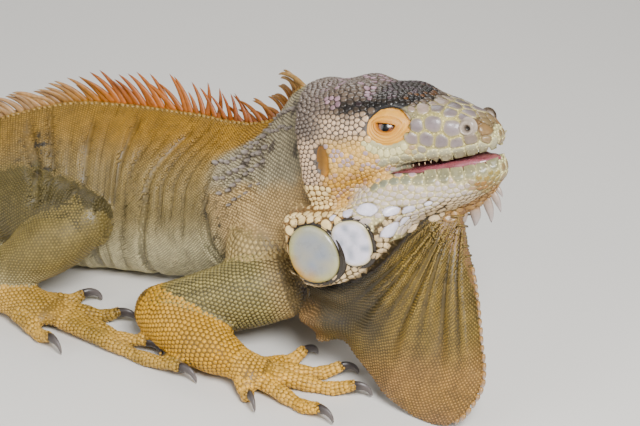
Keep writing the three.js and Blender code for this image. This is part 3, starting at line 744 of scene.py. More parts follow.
# the neck swells to meet the edges of the great shields, and stays under them
swell = rise(aboveFold, 0.2, 3.4) * rise(-z, 24, 32) * rise(headSide, 8, 16)
swell *= rise(x, -31, -25) * rise(-x, -42, -30)
level = mix(planeOut(shields["ear"], x, z), planeOut(shields["cheek"], x, z), rise(x, 1, 6)) - 0.9
out = mix(out, np.maximum(out, level), swell)
for shield in shields.values():
    away = np.hypot((x - shield["at"][0]) / shield["long"], (z - shield["at"][1]) / shield["tall"])
    out = mix(out, np.minimum(out, level - 0.3), (1 - rise(away, 0.9, 1.06)) * (out > 20))
skinPoints = fromHead(np.stack([x, np.sign(y) * out, z], -1))
skinPoints[:, 2] = np.maximum(skinPoints[:, 2], 0.0)
skinNormals = pointNormals(skinPoints, skinFaces)

skin = makeObject("skin", skinPoints, [skinFaces])
print("folds done")


def ontoSkin(points):
    # the nearest points of the skin, and the skin's outward direction there
    found = []
    for above in (0.0, 1.0):
        probe = makeObject("probe", points, [])
        wrap = probe.modifiers.new("Wrap", "SHRINKWRAP")
        wrap.target = skin
        wrap.wrap_method = "NEAREST_SURFACEPOINT"
        wrap.wrap_mode = "ABOVE_SURFACE"
        wrap.offset = above / 1000
        found.append(evaluated(probe)[0])
        bpy.data.objects.remove(probe)
    return found[0], unit(found[1] - found[0])


# colours of the hide, each named for where it lies; a few stand for painted shade and one for a painted
# highlight

hues = {
    "crestRow": "93794f", "backTop": "a27f48", "back": "99835a", "flank": "948562", "belly": "d6ccaa",
    "neckGrey": "b0a68e", "neckDark": "564d47", "neckTan": "c6ac84", "tubercle": "a59d94", "speck": "3f3a30",
    "tail": "8f8158", "tailBand": "544a3a", "thigh": "6c6140", "calf": "8c7d55", "foot": "806a3e",
    "armPale": "8a7f5a", "armGold": "90722f", "forearm": "b98f4c", "hand": "c6a268", "flapGold": "b08c5c",
    "flapGrey": "4e4430", "flapPink": "9c7c60", "flapRoot": "8f7250", "flapOlive": "8c794b",
    "crown": "64584e", "crownPink": "9b8088", "brow": "14110e", "nape": "6c625a", "temple": "c0a890",
    "snout": "766c6c", "snoutRim": "bdb284", "noseFront": "7c6c54", "noseRust": "7e5634", "nostril": "a3978c",
    "cheek": "c8a676", "cheekSpot": "9f8f9d", "cheekRim": "d6b67c", "streak": "a88046", "lipUpper": "96917c",
    "lipRim": "cac29c", "lipLower": "7c7862", "lipLowerRear": "7c7c6c", "jowl": "b6aaa4", "jowlRim": "cfc4a0",
    "squares": "e6cea2", "squareRim": "7a6042", "throat": "b59c78", "chin": "82744c", "edge": "c2ae90",
    "edgeRim": "5c4e38", "shield": "d6d2dc", "shieldRim": "cbbd9a", "seam": "241d16", "spineNape": "7c6444",
    "spineCurl": "6c4420", "spineRust": "78481c", "spineOrange": "8e5822", "spineRose": "84603a",
    "spinePale": "94795c", "spineTail": "85724e", "spineTip": "9c8260", "spikeRoot": "8f7458",
    "spike": "9c9492", "clawRoot": "302a28", "clawTip": "6a6462", "tooth": "8c7866", "lid": "c6965a",
    "lidInner": "ac7840", "lidRim": "d0bd84", "creaseShade": "8a5a30", "lidShadow": "4f5240",
    "irisInner": "6a3e1c", "iris": "4a2a14", "pupil": "050403", "eyeWhite": "3a2618", "pearl": "9c9786",
    "pearlCool": "828892", "pearlRim": "b6ae74", "pearlRust": "b07c40", "pearlLine": "8a8660",
    "drum": "5f4526", "drumHighlight": "a87c4a", "gum": "86525a", "gumDarkAndShade": "5a3030", "tongue": "8a6460",
}
hue = {name: hexColour(text) for name, text in hues.items()}


def blend(first, second, share):
    # first + (second - first) * share, for colours or the names of hues
    first, second = (hue[c] if isinstance(c, str) else c for c in (first, second))
    return first + (second - first) * np.asarray(share, float)[..., None]


def trunkColour(p):
    # from the crest down: a pale row, golden ochre, olive, grey-tan; greyer on the neck, banded on the tail
    u, angle, _ = bodyPlace(p)
    a = np.where(np.abs(angle) > 90, np.sign(angle) * 180 - angle, angle)
    c = blend("belly", "flank", rise(a, -28, 8))
    c = blend(c, "back", rise(a, 0, 45) * (0.5 + 0.5 * rise(-u, -6.5, -3)))
    c = blend(c, "backTop", rise(a, 34, 72) * (0.55 + 0.45 * rise(-u, -7.2, -4.5)))
    neck = rise(-u, -3.1, -2.5)
    line = 6 + 7 * (u - 0.4)  # the grey of the neck lies between this angle and the next
    upper = 88 - 19 * (u - 0.4)
    grey = blend("neckTan", "neckGrey", rise(a - line + 10 * scatter(p, 9, 5), -8, 8))
    dark = rise(scatter(p, 7, 8) + 0.6 * scatter(p, 3.5, 9), 0.1, 0.7) * rise(a, line + 4, line + 22)
    grey = blend(grey, "neckDark", 0.85 * dark)
    c = mix(c, grey, neck * (1 - rise(a, upper, upper + 14)))
    fold = creaseDepth(u, angle, np.abs(angle) > 90)
    # darker in the creases of the hide: painted shade in the folds
    c = c * (1 - 0.42 * np.clip(fold / 2.5, 0, 1))[:, None]
    c = blend(c, "crestRow", 0.7 * rise(a, 83.5, 86) * rise(u, 2, 3))
    # dark speckles, and painted shade in the hollows by the shoulder and above the thigh
    speck = rise(scatter(p, 2.6, 11) + 0.35 * scatter(p, 9, 12), 0.25, 0.6)
    shadedHollow = bell(u, 6.55, 0.34) * rise(a, 16, 30) * (1 - rise(a, 58, 70))
    shadedHollow = shadedHollow + 0.8 * bell(u, 2.75, 0.3) * bell(a, -4, 26)
    c = blend(c, "speck", np.clip(1.2 * speck * shadedHollow + 0.3 * shadedHollow, 0, 1))
    band = rise(np.sin((p[:, 0] + 30) / 13.5) + 0.5 * scatter(p, 8, 14), -0.1, 0.6) * rise(-p[:, 0], 170, 260)
    c = mix(c, blend("tail", "tailBand", band), rise(-p[:, 0], 120, 220))
    return c


def limbColour(p, part, u):
    # olive to grey-tan on the hind leg, pale green to gold on the arm, orange-tan on hands and feet
    if part == "thigh":
        c = blend("thigh", "calf", rise(-p[:, 2], -52, -30))
        return c * (1 - 0.32 * rise(u, 1.6, 2.8))[:, None]
    if part == "shin":
        c = blend("calf", "belly", 0.6 * rise(-p[:, 2], -34, -14))
        return blend(c, "foot", rise(u, 2.5, 3.0))
    if part == "foot":
        return blend("foot", "hand", 0.5 + 0.5 * scatter(p, 14, 21))
    if part == "upper_arm":
        gold = np.clip(rise(u, 2.2, 3.0) + rise(-p[:, 2], -22, -12) * 0.4, 0, 1)
        c = blend("armPale", "armGold", gold)
        return blend(c, "neckTan", 0.6 * rise(-u, -0.6, 0.1))
    if part == "forearm":
        return blend("forearm", "hand", 0.35 + 0.35 * scatter(p, 16, 23))
    if part == "shoulder":
        return blend("neckTan", "armPale", 0.5)
    return blend("hand", "forearm", 0.4 + 0.4 * scatter(p, 12, 25))


def dewlapColour(p):
    # golden tan below and in front, grey-brown high at the rear, rosy on the rear lobe
    q = toHead(p)
    c = blend("flapGold", "flapPink", 0.35 + 0.35 * scatter(p, 17, 31))
    c = blend(c, "flapOlive", 0.85 * rise(q[:, 2] + 8 * scatter(p, 14, 33), -128, -98))
    grey = rise(-q[:, 0], -36, -6) * rise(q[:, 2], -122, -84) + 0.2 * rise(q[:, 2], -70, -45)
    c = blend(c, "flapGrey", np.clip(grey + 0.2 * scatter(p, 9, 32), 0, 0.95))
    c = blend(c, "flapRoot", 0.9 * rise(-q[:, 0], 18, 28) * rise(-q[:, 2], 78, 90))
    # on the right face a fold towards the left is a hollow, darkened below as painted shade
    near = np.where(q[:, 1] < dewlap["lean"] * (q[:, 2] + 25), 1, -1)
    shadedHollow = rise(flapFold(q) * near, 0.1, 0.9) * rise(q[:, 0], -20, 0)
    # darker along the throat fold: painted shadow under the fold's overhang
    edge = bell(q[:, 2], np.interp(q[:, 0], *throatFold), 3.5)
    c = c * (1 - 0.36 * shadedHollow)[:, None] * (1 - 0.6 * edge)[:, None] * (1 + 0.22 * scatter(p, 4, 34))[:, None]
    return blend(c, "flapRoot", 0.4 * rise(q[:, 0], 48, 62) * rise(q[:, 2], -60, -40))


# the coat of scales

# template scales: x runs with the lie, y across, z out; shade is 0 at the rim and 1 on the crown
ring6 = np.arange(6) * np.pi / 3
bead = {
    "points": np.concatenate([
        np.stack([0.56 * np.cos(ring6), 0.53 * np.sin(ring6), np.full(6, -0.45)], -1),
        [[0.07, 0, 1.0]],
    ]),
    "faces": np.array([[i, (i + 1) % 6, 6] for i in range(6)] + [[0, 5, 4], [0, 4, 3], [0, 3, 2], [0, 2, 1]]),
    "shade": np.array([0, 0, 0, 0, 0, 0, 1.0]),
}
ring8 = np.arange(8) * np.pi / 4
cobble = {
    "points": np.concatenate([
        np.stack([0.54 * np.cos(ring8), 0.52 * np.sin(ring8), np.full(8, -0.4)], -1),
        np.stack([0.03 + 0.42 * np.cos(ring8), 0.40 * np.sin(ring8), np.full(8, 0.55)], -1),
        [[0.08, 0, 1.0]],
    ]),
    "faces": np.array(
        [[i, (i + 1) % 8, 8 + (i + 1) % 8] for i in range(8)]
        + [[i, 8 + (i + 1) % 8, 8 + i] for i in range(8)]
        + [[8 + i, 8 + (i + 1) % 8, 16] for i in range(8)]
        + [[0, i + 1, i] for i in range(1, 7)]
    ),
    "shade": np.array([0.0] * 8 + [0.75] * 8 + [1.0]),
}
keeled = {  # a pointed scale with a ridge that rises towards its free end
    "points": np.array([
        [-0.52, 0, -0.4], [-0.2, 0.5, -0.4], [0.38, 0.36, -0.3], [0.66, 0, 0.1], [0.38, -0.36, -0.3],
        [-0.2, -0.5, -0.4], [-0.3, 0, 0.4], [0.34, 0, 1.0], [0.0, 0.32, 0.3], [0.0, -0.32, 0.3],
    ]),
    "faces": np.array([
        [0, 6, 1], [1, 6, 8], [1, 8, 2], [8, 7, 2], [2, 7, 3], [6, 7, 8], [0, 5, 6], [5, 9, 6], [5, 4, 9],
        [9, 4, 7], [4, 3, 7], [6, 9, 7], [0, 1, 5], [1, 2, 5], [2, 4, 5], [2, 3, 4],
    ])[:, ::-1],
    "shade": np.array([0, 0, 0, 0.5, 0, 0, 0.9, 1.0, 0.8, 0.8]),
}
coatPieces = []
skinRoots, skinTints = [], []
batches = {}  # name of the piece: its template, its slot and lists of points, colours and UVs


def gather(name, shape, slot, points, colour, patch):
    # adds points, colours and UVs of many copies of one shape to the batch that becomes the named piece
    batch = batches.setdefault(name, (shape, slot, [], [], []))
    for stored, new in zip(batch[2:], (points, colour, patch)):
        stored.append(new)


def layScales(name, template, root, normal, lie, length, width, height, core, rim, uv, slot):
    # root + lie * length * x + across * width * y + normal * height * z for every scale and template point
    lie = unit(lie - normal * (lie * normal).sum(1, keepdims=True))
    across = np.cross(normal, lie)
    x, y, z = template["points"].T
    points = (
        root[:, None]
        + lie[:, None] * (length[:, None] * x)[..., None]
        + across[:, None] * (width[:, None] * y)[..., None]
        + normal[:, None] * (height[:, None] * z)[..., None]
    )
    points[..., 2] = np.maximum(points[..., 2], 0.02)
    colour = mix(rim[:, None], core[:, None], template["shade"][None, :, None] + 0 * points[..., :1])
    patch = uv[:, None] + 0.003 * np.stack([x, y], -1)[None]
    gather(name, template["faces"], slot, points, colour, patch)
    skinRoots.append(root)
    skinTints.append(rim)


def makeCoat():
    # one piece for every batch, or several where it has more triangles than a piece may have
    for name, (shape, slot, points, colours, patches) in batches.items():
        points, colours, patches = (np.concatenate(a) for a in (points, colours, patches))
        count, each = points.shape[:2]
        parts = math.ceil(count * len(shape) / 190000)
        most = math.ceil(count / parts)
        for part, start in enumerate(range(0, count, most)):
            stop = min(start + most, count)
            faces = (shape[None] + (np.arange(stop - start) * each)[:, None, None]).reshape(-1, 3)
            title = f"{name}_{part + 1}" if parts > 1 else name
            piece = makeObject(title, points[start:stop].reshape(-1, 3), [faces])
            paint(piece, colours[start:stop].reshape(-1, 3))
            unwrap(piece, patches[start:stop].reshape(-1, 2))
            coatPieces.append((piece, slot))
        print(name, count, "scales,", count * len(shape), "triangles")


def rootGrid(surface, start, end, pitch, share, quantum):
    # staggered rows of roots: a row every pitch * share along, and round it a multiple of the quantum that
    # keeps the pitch; returns station, angle, place, lie, and the room for each scale
    fine = np.linspace(start, end, 400)
    ring = np.linspace(0, 2 * np.pi, 73)
    p = surface(fine[:, None], ring[None, :])
    middle = p[:, :-1].mean(1)
    far = np.concatenate([[0], np.cumsum(np.linalg.norm(np.diff(middle, axis=0), axis=1))])
    size = pitch(fine) if callable(pitch) else np.full(400, float(pitch))
    rowsAt = np.concatenate([[0], np.cumsum(np.diff(far) / (0.5 * (size[1:] + size[:-1]) * share))])
    count = int(rowsAt[-1])
    u = np.interp(np.arange(count) + 0.5, rowsAt, fine)
    girth = np.linalg.norm(np.diff(p, axis=1), axis=2).sum(1)
    wanted = np.interp(u, fine, girth / size)
    around = np.maximum(np.round(wanted / quantum).astype(int) * quantum, 5)
    row = np.repeat(np.arange(count), around)
    k = np.arange(len(row)) - np.repeat(np.cumsum(around) - around, around)
    angle = 2 * np.pi * (k + 0.5 * (row % 2)) / around[row]
    u = u[row]
    angle = np.mod(angle, 2 * np.pi)
    root = surface(u, angle)
    ahead, behind = surface(u + 0.01, angle), surface(u - 0.01, angle)
    turned = surface(u, angle + 0.01) - surface(u, angle - 0.01)
    width = np.linalg.norm(turned, axis=1) / 0.02 * 2 * np.pi / around[row]
    length = np.interp(u, fine, size) * share
    return u, angle, root, ahead - behind, length, width


def keep(mask, *arrays):
    # the masked rows of every array
    return [a[mask] for a in arrays]


def coatOn(name, template, surface, start, end, pitch, height, tint, slot, options):
    # a region of the coat: roots on its surface, dropped where the skin lies elsewhere, then their scales
    rules = {"slack": 1.9, "share": 0.87, "quantum": 4, "overlap": 1.16, "snug": 0.97, "rim": 0.5, **options}
    steps = rules["share"], rules["quantum"]
    u, angle, place, lie, length, width = rootGrid(surface, start, end, pitch, *steps)
    root, normal = ontoSkin(place)
    ok = (np.linalg.norm(root - place, axis=1) < rules["slack"]) & (root[:, 2] > 0.25)
    if "where" in rules:
        ok &= rules["where"](root, u, angle)
    u, angle, root, normal, lie, length, width = keep(ok, u, angle, root, normal, lie, length, width)
    core = tint(root, u, angle)
    each = dice(len(root), 7)
    core = core * (0.86 + 0.28 * each[:, None]) * (1 + 0.10 * scatter(root, 11, 2)[:, None])
    uv = np.stack([(u - start) / (end - start), angle / (2 * np.pi)], -1) * 0.98 + 0.01
    tall = height * (0.85 + 0.3 * dice(len(root), 9)) * np.minimum(1, width / np.median(width))
    # the rim takes a share of the crown's colour: the darker skin between the scales, with painted shade in
    # the gaps
    length, width, rim = length * rules["overlap"], width * rules["snug"], core * rules["rim"]
    layScales(name, template, root, normal, lie, length, width, tall, core, rim, uv, slot)


def notHead(root):
    # true away from the skull, the jaw and the plates beside them
    q = toHead(root)
    inShell = (q[:, 0] > -15) & (q[:, 2] > -66) & (np.abs(q[:, 1]) < 60)
    return ~inShell


tailStart = ventAt + 1.6
bodyTint = lambda root, u, angle: trunkColour(root)
coatOn("scales_neck", bead, bodyPoint, 0.02, 2.5, 2.1, 0.62, bodyTint, "hide", {
    "where": lambda root, u, angle: notHead(root), "rim": 0.42,
})
coatOn("scales_trunk", bead, bodyPoint, 2.5, 7.6, 1.75, 0.42, bodyTint, "hide", {"rim": 0.42})
coatOn("scales_rump", bead, bodyPoint, 7.6, tailStart, 2.1, 0.5, bodyTint, "hide", {"rim": 0.42})
tailPitch = lambda u: mix(3.0, 2.2, rise(u, 13, 18.5))
coatOn("scales_tail", keeled, bodyPoint, tailStart, tailEnd - 0.01, tailPitch, 0.75, bodyTint, "hide", {
    "rim": 0.5, "share": 1.15, "quantum": 2, "overlap": 1.1,
})
flapTint = lambda root, u, angle: dewlapColour(root)
coatOn("scales_dewlap", bead, dewlapPoint, 0.004, 0.996, 1.75, 0.55, flapTint, "dewlap", {
    "rim": 0.32, "slack": 2.6,
    "where": lambda root, u, angle: toHead(root)[:, 2] < np.interp(toHead(root)[:, 0], *throatFold) - 0.9,
})


def limbTint(part, paleRowsAndHighlight=0.0, level=1.0):
    # the part's colour, with pale and dark rows along it towards its far end: paler scale rows with painted
    # highlights along them
    return lambda root, u, angle: level * limbColour(root, part, u) * (
        1 + paleRowsAndHighlight * np.sin(13 * angle) * rise(u, 0.8, 2.2)
    )[:, None]


for where, limb in limbs.items():
    big = where.startswith("fore")
    pitches = (2.55, 3.0, 2.7) if big else (1.9, 2.1, 2.6)
    kinds = (keeled, cobble, cobble) if big else (bead, bead, cobble)
    heights = (0.65, 0.75, 0.65) if big else (0.45, 0.5, 0.6)
    parts = zip(("upper", "lower", "pad"), limb["parts"], pitches, kinds, heights)
    for key, part, pitch, kind, tall in parts:
        batch = f"scales_{part if key != 'pad' else 'digits'}_{where}"
        tint = limbTint(part, paleRowsAndHighlight=0.28 if key == "upper" and big else 0.0)
        coatOn(batch, kind, limbPoint(limb[key]), -0.12, len(limb[key]) - 0.88, pitch, tall, tint, "limb", {
            "rim": 0.3 if big else 0.42, "slack": 2.4,
        })
    for root, end in zip(limb["roots"], limb["ends"]):
        point = digitPoint(digitLine(root, end, limb["thick"]))
        tint = limbTint(limb["parts"][-1], level=1.15)
        coatOn(f"scales_digits_{where}", cobble, point, 0.15, 3.05, 2.9, 0.6, tint, "limb", {
            "rim": 0.42, "slack": 1.6, "share": 0.95, "quantum": 1,
        })


# plates of the head

def squareRows():
    # squared scales in arcs over the great shield, a scale every pitch along each arc
    middleX, middleZ = shields["ear"]["at"]
    found = []
    arcs = (4.3, 32, 178, 2.25), (8.7, 30, 170, 2.2), (12.9, 34, 160, 2.05), (16.8, 44, 140, 1.9)
    for grow, first, last, reach in arcs:
        count = int(math.radians(last - first) * (13.5 + grow) / (2.02 * reach))
        for k in range(count):
            turn = math.radians(first + (last - first) * (k + 0.5) / count)
            x, z = middleX + (14.6 + grow) * math.cos(turn), middleZ + (15.8 + grow) * math.sin(turn)
            found.append((x, 38, z, reach))
    return found


def edgeRows():
    # squared scales in three rows along the lower edge of the neck
    found = []
    for above, reach in ((2.5, 1.65), (5.7, 1.75), (9.0, 1.85)):
        for x in np.arange(-26, 44, 2 * reach + 0.1) + above * 0.3:
            found.append((x, 37, float(np.interp(x, *throatFold)) + above, reach))
    return found


# larger plates that a reader of iguanas would name, on the right side and mirrored: x, y, z, reach
namedPlates = {
    "snout": [
        (61.7, 20.4, 12.7, 4.9), (70.7, 17.5, 9.4, 5.0), (57.6, 22.5, 5.6, 4.2), (62, 13.9, 19.8, 4.0),
        (68.5, 12.9, 16.5, 3.8), (54.3, 23.7, 12.4, 3.2), (51.2, 24.9, 6.4, 3.2), (55.8, 17.1, 21.4, 3.8),
        (65, 19.9, 3.4, 3.6), (71.6, 16.5, 1.2, 3.4), (76, 5.5, 14.5, 3.6), (68.5, 4.8, 18.8, 3.8),
        (85, 8.5, 6, 3.6), (84, 3.6, 9.8, 2.8), (61, 5, 23, 3.6), (49.5, 20.5, 19.5, 2.8),
        (78.5, 14.0, 2.0, 3.0), (85.5, 9.5, 0.5, 2.8),
    ],
    "lipUpper": [
        (34.5, 30, -6.6, 2.9), (40.5, 28.5, -6.5, 3.0), (46.5, 26.5, -6.4, 3.1), (52.8, 24.4, -6.4, 3.1),
        (59.2, 22, -6.2, 3.1), (65.6, 19.6, -5.5, 3.1), (72, 17, -4.8, 3.1), (78.4, 14, -3.6, 3.0),
        (83.6, 10.2, -2.6, 2.8), (87.6, 6, -1.4, 2.5),
    ],
    "lipLower": [
        (27, 33.5, -13.5, 2.8), (33, 32.4, -12.4, 2.8), (39, 30.2, -12.6, 2.8), (45, 28, -13.6, 2.9),
        (51, 25.8, -14.6, 3.0), (57.2, 23.4, -15.2, 3.1), (63.6, 20.8, -15.6, 3.1), (70, 18, -15.7, 3.1),
        (76.4, 15, -15.4, 3.0), (82.2, 12, -14.6, 2.8), (86.8, 7.8, -13.4, 2.5),
    ],
    "eyeShelf": [
        (26.2, 32, 7.0, 1.6), (28.4, 31.6, 4.2, 1.6), (31.0, 31, 2.2, 1.6), (34.0, 30, 0.9, 1.6),
        (37.2, 29, 0.4, 1.6), (40.4, 28.4, 0.6, 1.6), (43.5, 27.4, 1.3, 1.6), (46.3, 26.4, 2.6, 1.6),
    ],
    "shields": [
        (24.6, 36.0, -27.6, 4.2), (34.0, 32, -39.5, 4.2), (35.4, 31.5, -30.0, 3.4), (44.6, 27.4, -30.6, 2.6),
        (54.4, 24, -28.8, 2.0), (41.5, 26, -38.5, 2.6), (13.5, 40, -26.4, 2.7), (5.4, 41, -28.2, 2.5),
    ],
    "squares": squareRows(),
    "edges": edgeRows(),
    "rostral": [
        (89.5, 1.6, 2.0, 2.4), (90.5, 1.8, -2.2, 2.2), (88.8, 2.4, -15.5, 2.4), (88.2, 2.2, -20.2, 2.4)
    ],
}


def plateReach(q):
    # how large the plates are at a place in the head's frame
    x, z = q[:, 0], q[:, 2]
    r = np.full(len(q), 1.5)
    r = mix(r, 1.3, rise(-x, -4, 8) * rise(z, 6, 14))  # nape
    r = mix(r, 1.55, rise(z, 20, 26) * rise(-x, -56, -48))  # brow and crown
    r = mix(r, 2.15, bell(x, 20, 9) * rise(z, 20, 28))  # temple
    r = mix(r, 2.6, rise(x, 50, 56) * rise(z, -3, 2))  # snout
    r = mix(r, 1.8, rise(-z, 9, 15) * rise(-z, -44, -38) * rise(x, 6, 14))  # jowl
    r = mix(r, 1.25, rise(-x, -8, -1) * rise(-z, -6, 2) * rise(z, -22, -14))  # behind the ear
    r = mix(r, 1.5, rise(-z, 48, 56))  # throat
    return r


def jowlStretch(q):
    # jowl scales are nearly twice as long as they are high
    return 1 + 0.8 * rise(-q[:, 2], 18, 23) * rise(q[:, 0], 4, 14) * rise(-q[:, 2], -50, -40)


def headSeeds():
    # plates scattered evenly over both shells, as many as fit; R3 is the additive low-discrepancy sequence
    tries = 26000
    ratio = 1.2207440846057596  # the root of ratio^4 = ratio + 1
    n = np.arange(1, tries + 1)[:, None] * ratio ** -np.array([1.0, 2.0, 3.0]) % 1
    found = []
    for surface, last in ((skullPoint, 7.0), (jawPoint, 8.0)):
        u, angle = n[:, 0] * last, n[:, 1] * 2 * np.pi
        p = surface(u, angle)
        pu = (surface(u + 0.01, angle) - surface(u - 0.01, angle)) / 0.02
        pa = (surface(u, angle + 0.01) - surface(u, angle - 0.01)) / 0.02
        area = np.linalg.norm(np.cross(pu, pa), axis=1) * last * 2 * np.pi
        reach = plateReach(toHead(p))
        chance = area / (tries * 3.3 * reach**2)
        p = p[n[:, 2] < chance]
        on = ontoSkin(p)[0]
        found.append(on[np.linalg.norm(on - p, axis=1) < 2.2])
    return np.concatenate(found)


lipAt = [22, 40, 56, 70, 81, 88]  # x, then the heights of the edges of the upper and the lower lip
lipRoof, lipFloor = [-18, -9, -8, -6.5, -5, -4], [-12, -10, -12, -12.5, -11.6, -10.2]


def offPlaces(q):
    # true where no plates lie: on lids, eardrum, nostril and great shields, in the mouth and on the crease
    x, z, side = q[:, 0], q[:, 2], np.abs(q[:, 1])
    off = (orbitAway(x, z) < 1.02) & (side > 14)
    floor, roof = np.interp(x, lipAt, lipFloor), np.interp(x, lipAt, lipRoof)
    half = np.interp(x, [22, 40, 56, 69, 80, 87, 91], [31, 26.5, 20.5, 15.5, 10.5, 5.5, 2])
    off |= (x > 33) & (z > floor - 2.2) & (z < roof + 1.6) & (side < half)
    off |= (np.hypot((x - 0.5) / 4.6, (z + 1) / 9.4) < 1) & (side > 24)
    off |= (np.hypot(x - 78, z - 9) < 4.6) & (side > 7)
    for shield in shields.values():
        turn, ahead, above = math.radians(shield["turn"]), x - shield["at"][0], z - shield["at"][1]
        a = (ahead * math.cos(turn) + above * math.sin(turn)) / (shield["long"] + 1.6)
        b = (above * math.cos(turn) - ahead * math.sin(turn)) / (shield["tall"] + 1.6)
        off |= (np.abs(a) ** shield["square"] + np.abs(b) ** shield["square"] < 1) & (side > 15)
    off |= (np.abs(z - np.interp(x, *throatFold)) < 0.9) & (x > -29) & (x < 62) & (side > 6)
    return off


def underChin(q):
    # true on the fold of skin below the jaw
    under = np.interp(q[:, 0], [52, 56, 69, 80, 87], [-40, -37.5, -33, -28.5, -23])
    return (q[:, 0] > 52) & (np.abs(q[:, 1]) < 14) & (q[:, 2] < under + 0.5)


seedKinds = ["auto"] + list(namedPlates)


def ofKind(kind, *names):
    # true for the plates of the named kinds
    return np.isin(kind, [seedKinds.index(name) for name in names])


fixed, fixedReach, fixedKind = [], [], []
for kind, plates in namedPlates.items():
    for x, y, z, reach in plates:
        for sign in (-1, 1):
            fixed.append((x, sign * y, z))
            fixedReach.append(reach)
            fixedKind.append(seedKinds.index(kind))
fixed = ontoSkin(fromHead(fixed))[0]
fixedReach, fixedKind = np.array(fixedReach), np.array(fixedKind)
auto = headSeeds()
auto = auto[~offPlaces(toHead(auto))]
needed = 0.8 * (plateReach(toHead(auto))[:, None] + fixedReach[None])
auto = auto[(np.linalg.norm(auto[:, None] - fixed[None], axis=2) >= needed).all(1)]
seeds = np.concatenate([fixed, auto])
seedKind = np.concatenate([fixedKind, np.zeros(len(auto), int)])
movable = seedKind == 0
print("head seeds:", len(seeds))


def seedReach(points):
    # named plates keep their reach, the others take that of their place
    return np.where(movable, plateReach(toHead(points)), np.concatenate([fixedReach, np.zeros(len(auto))]))


def pushApart(p, reach, weight=1.0):
    # the sum over all points closer than their reach of (1 - apart / reach) times the way out from them
    square = (p**2).sum(1)
    apart = np.sqrt(np.maximum(square[:, None] + square[None] - 2 * p @ p.T, 1e-6))
    push = np.maximum(1 - apart / reach, 0) / apart * weight
    np.fill_diagonal(push, 0)
    return push.sum(1)[:, None] * p - push @ p


def spreadSeeds(points, rounds):
    # seeds closer than the sum of their reaches push each other apart, now and then laid on the skin again
    for turn in range(rounds):
        reach = seedReach(points)
        move = pushApart(toHead(points), 0.98 * (reach[:, None] + reach[None]), reach[:, None])
        points = np.where(movable[:, None], points + (0.55 * move) @ headTurned, points)
        if turn % 8 == 7:
            points = np.where(movable[:, None], ontoSkin(points)[0], points)
    return points


seeds = spreadSeeds(seeds, 24)
loose = movable | ofKind(seedKind, "edges", "squares")
lost = loose & offPlaces(toHead(seeds))
reachNow = seedReach(seeds)
seeds, seedKind, reachNow = keep(~lost, seeds, seedKind, reachNow)
seeds, seedNormal = ontoSkin(seeds)


def powerCells(root, normal, reach, stretch, directions, gap, full):
    # the reach of each plate in every direction: the nearest border with a neighbour,
    # (d^2 + r^2 - s^2) / (2 direction . d), less half the gap
    ahead = headTurned[0] - normal * (normal @ headTurned[0])[:, None]
    ahead = unit(ahead + 1e-6)
    across = np.cross(normal, ahead)
    square = (root**2).sum(1)
    apart = square[:, None] + square[None] - 2 * root @ root.T + 4 * ((normal @ normal.T) < 0.2) * 100.0
    np.fill_diagonal(apart, 1e9)
    close = np.argpartition(apart - reach[None] ** 2 * 2, 16, axis=1)[:, :16]
    d = root[close] - root[:, None]
    x, y = (d * ahead[:, None]).sum(2), (d * across[:, None]).sum(2)
    true = np.linalg.norm(d, axis=2) / np.maximum(np.hypot(x, y), 1e-6)
    x, y = x * true / stretch[:, None], y * true
    turn = 2 * np.pi * (np.arange(directions) + 0.5) / directions
    c, s = np.cos(turn), np.sin(turn)
    dot = x[..., None] * c + y[..., None] * s
    limit = (x**2 + y**2)[..., None] + reach[:, None, None] ** 2 - reach[close][..., None] ** 2
    limit = np.where(dot > 1e-3, limit / (2 * np.maximum(dot, 1e-6)), 1e9).min(1)
    most = mix(1.6, 1.12, np.maximum(rise(toHead(root)[:, 0], 80, 86), rise(reach, 4.0, 4.8)))
    most = np.where(full, np.where(reach > 3.2, 1.25, 2.4), most)
    limit = np.clip(limit - gap[:, None] / 2, 0.3 * reach[:, None], (most * reach)[:, None])
    limit = 0.7 * limit + 0.15 * (np.roll(limit, 1, 1) + np.roll(limit, -1, 1))
    return ahead, across, limit * c * stretch[:, None], limit * s


def both(core, rim, share, coreHue, rimHue, dim=1.0):
    # core and rim moved towards two named hues by the same share, the rim's hue dimmed
    return mix(core, hue[coreHue], share), mix(rim, hue[rimHue] * dim, share)


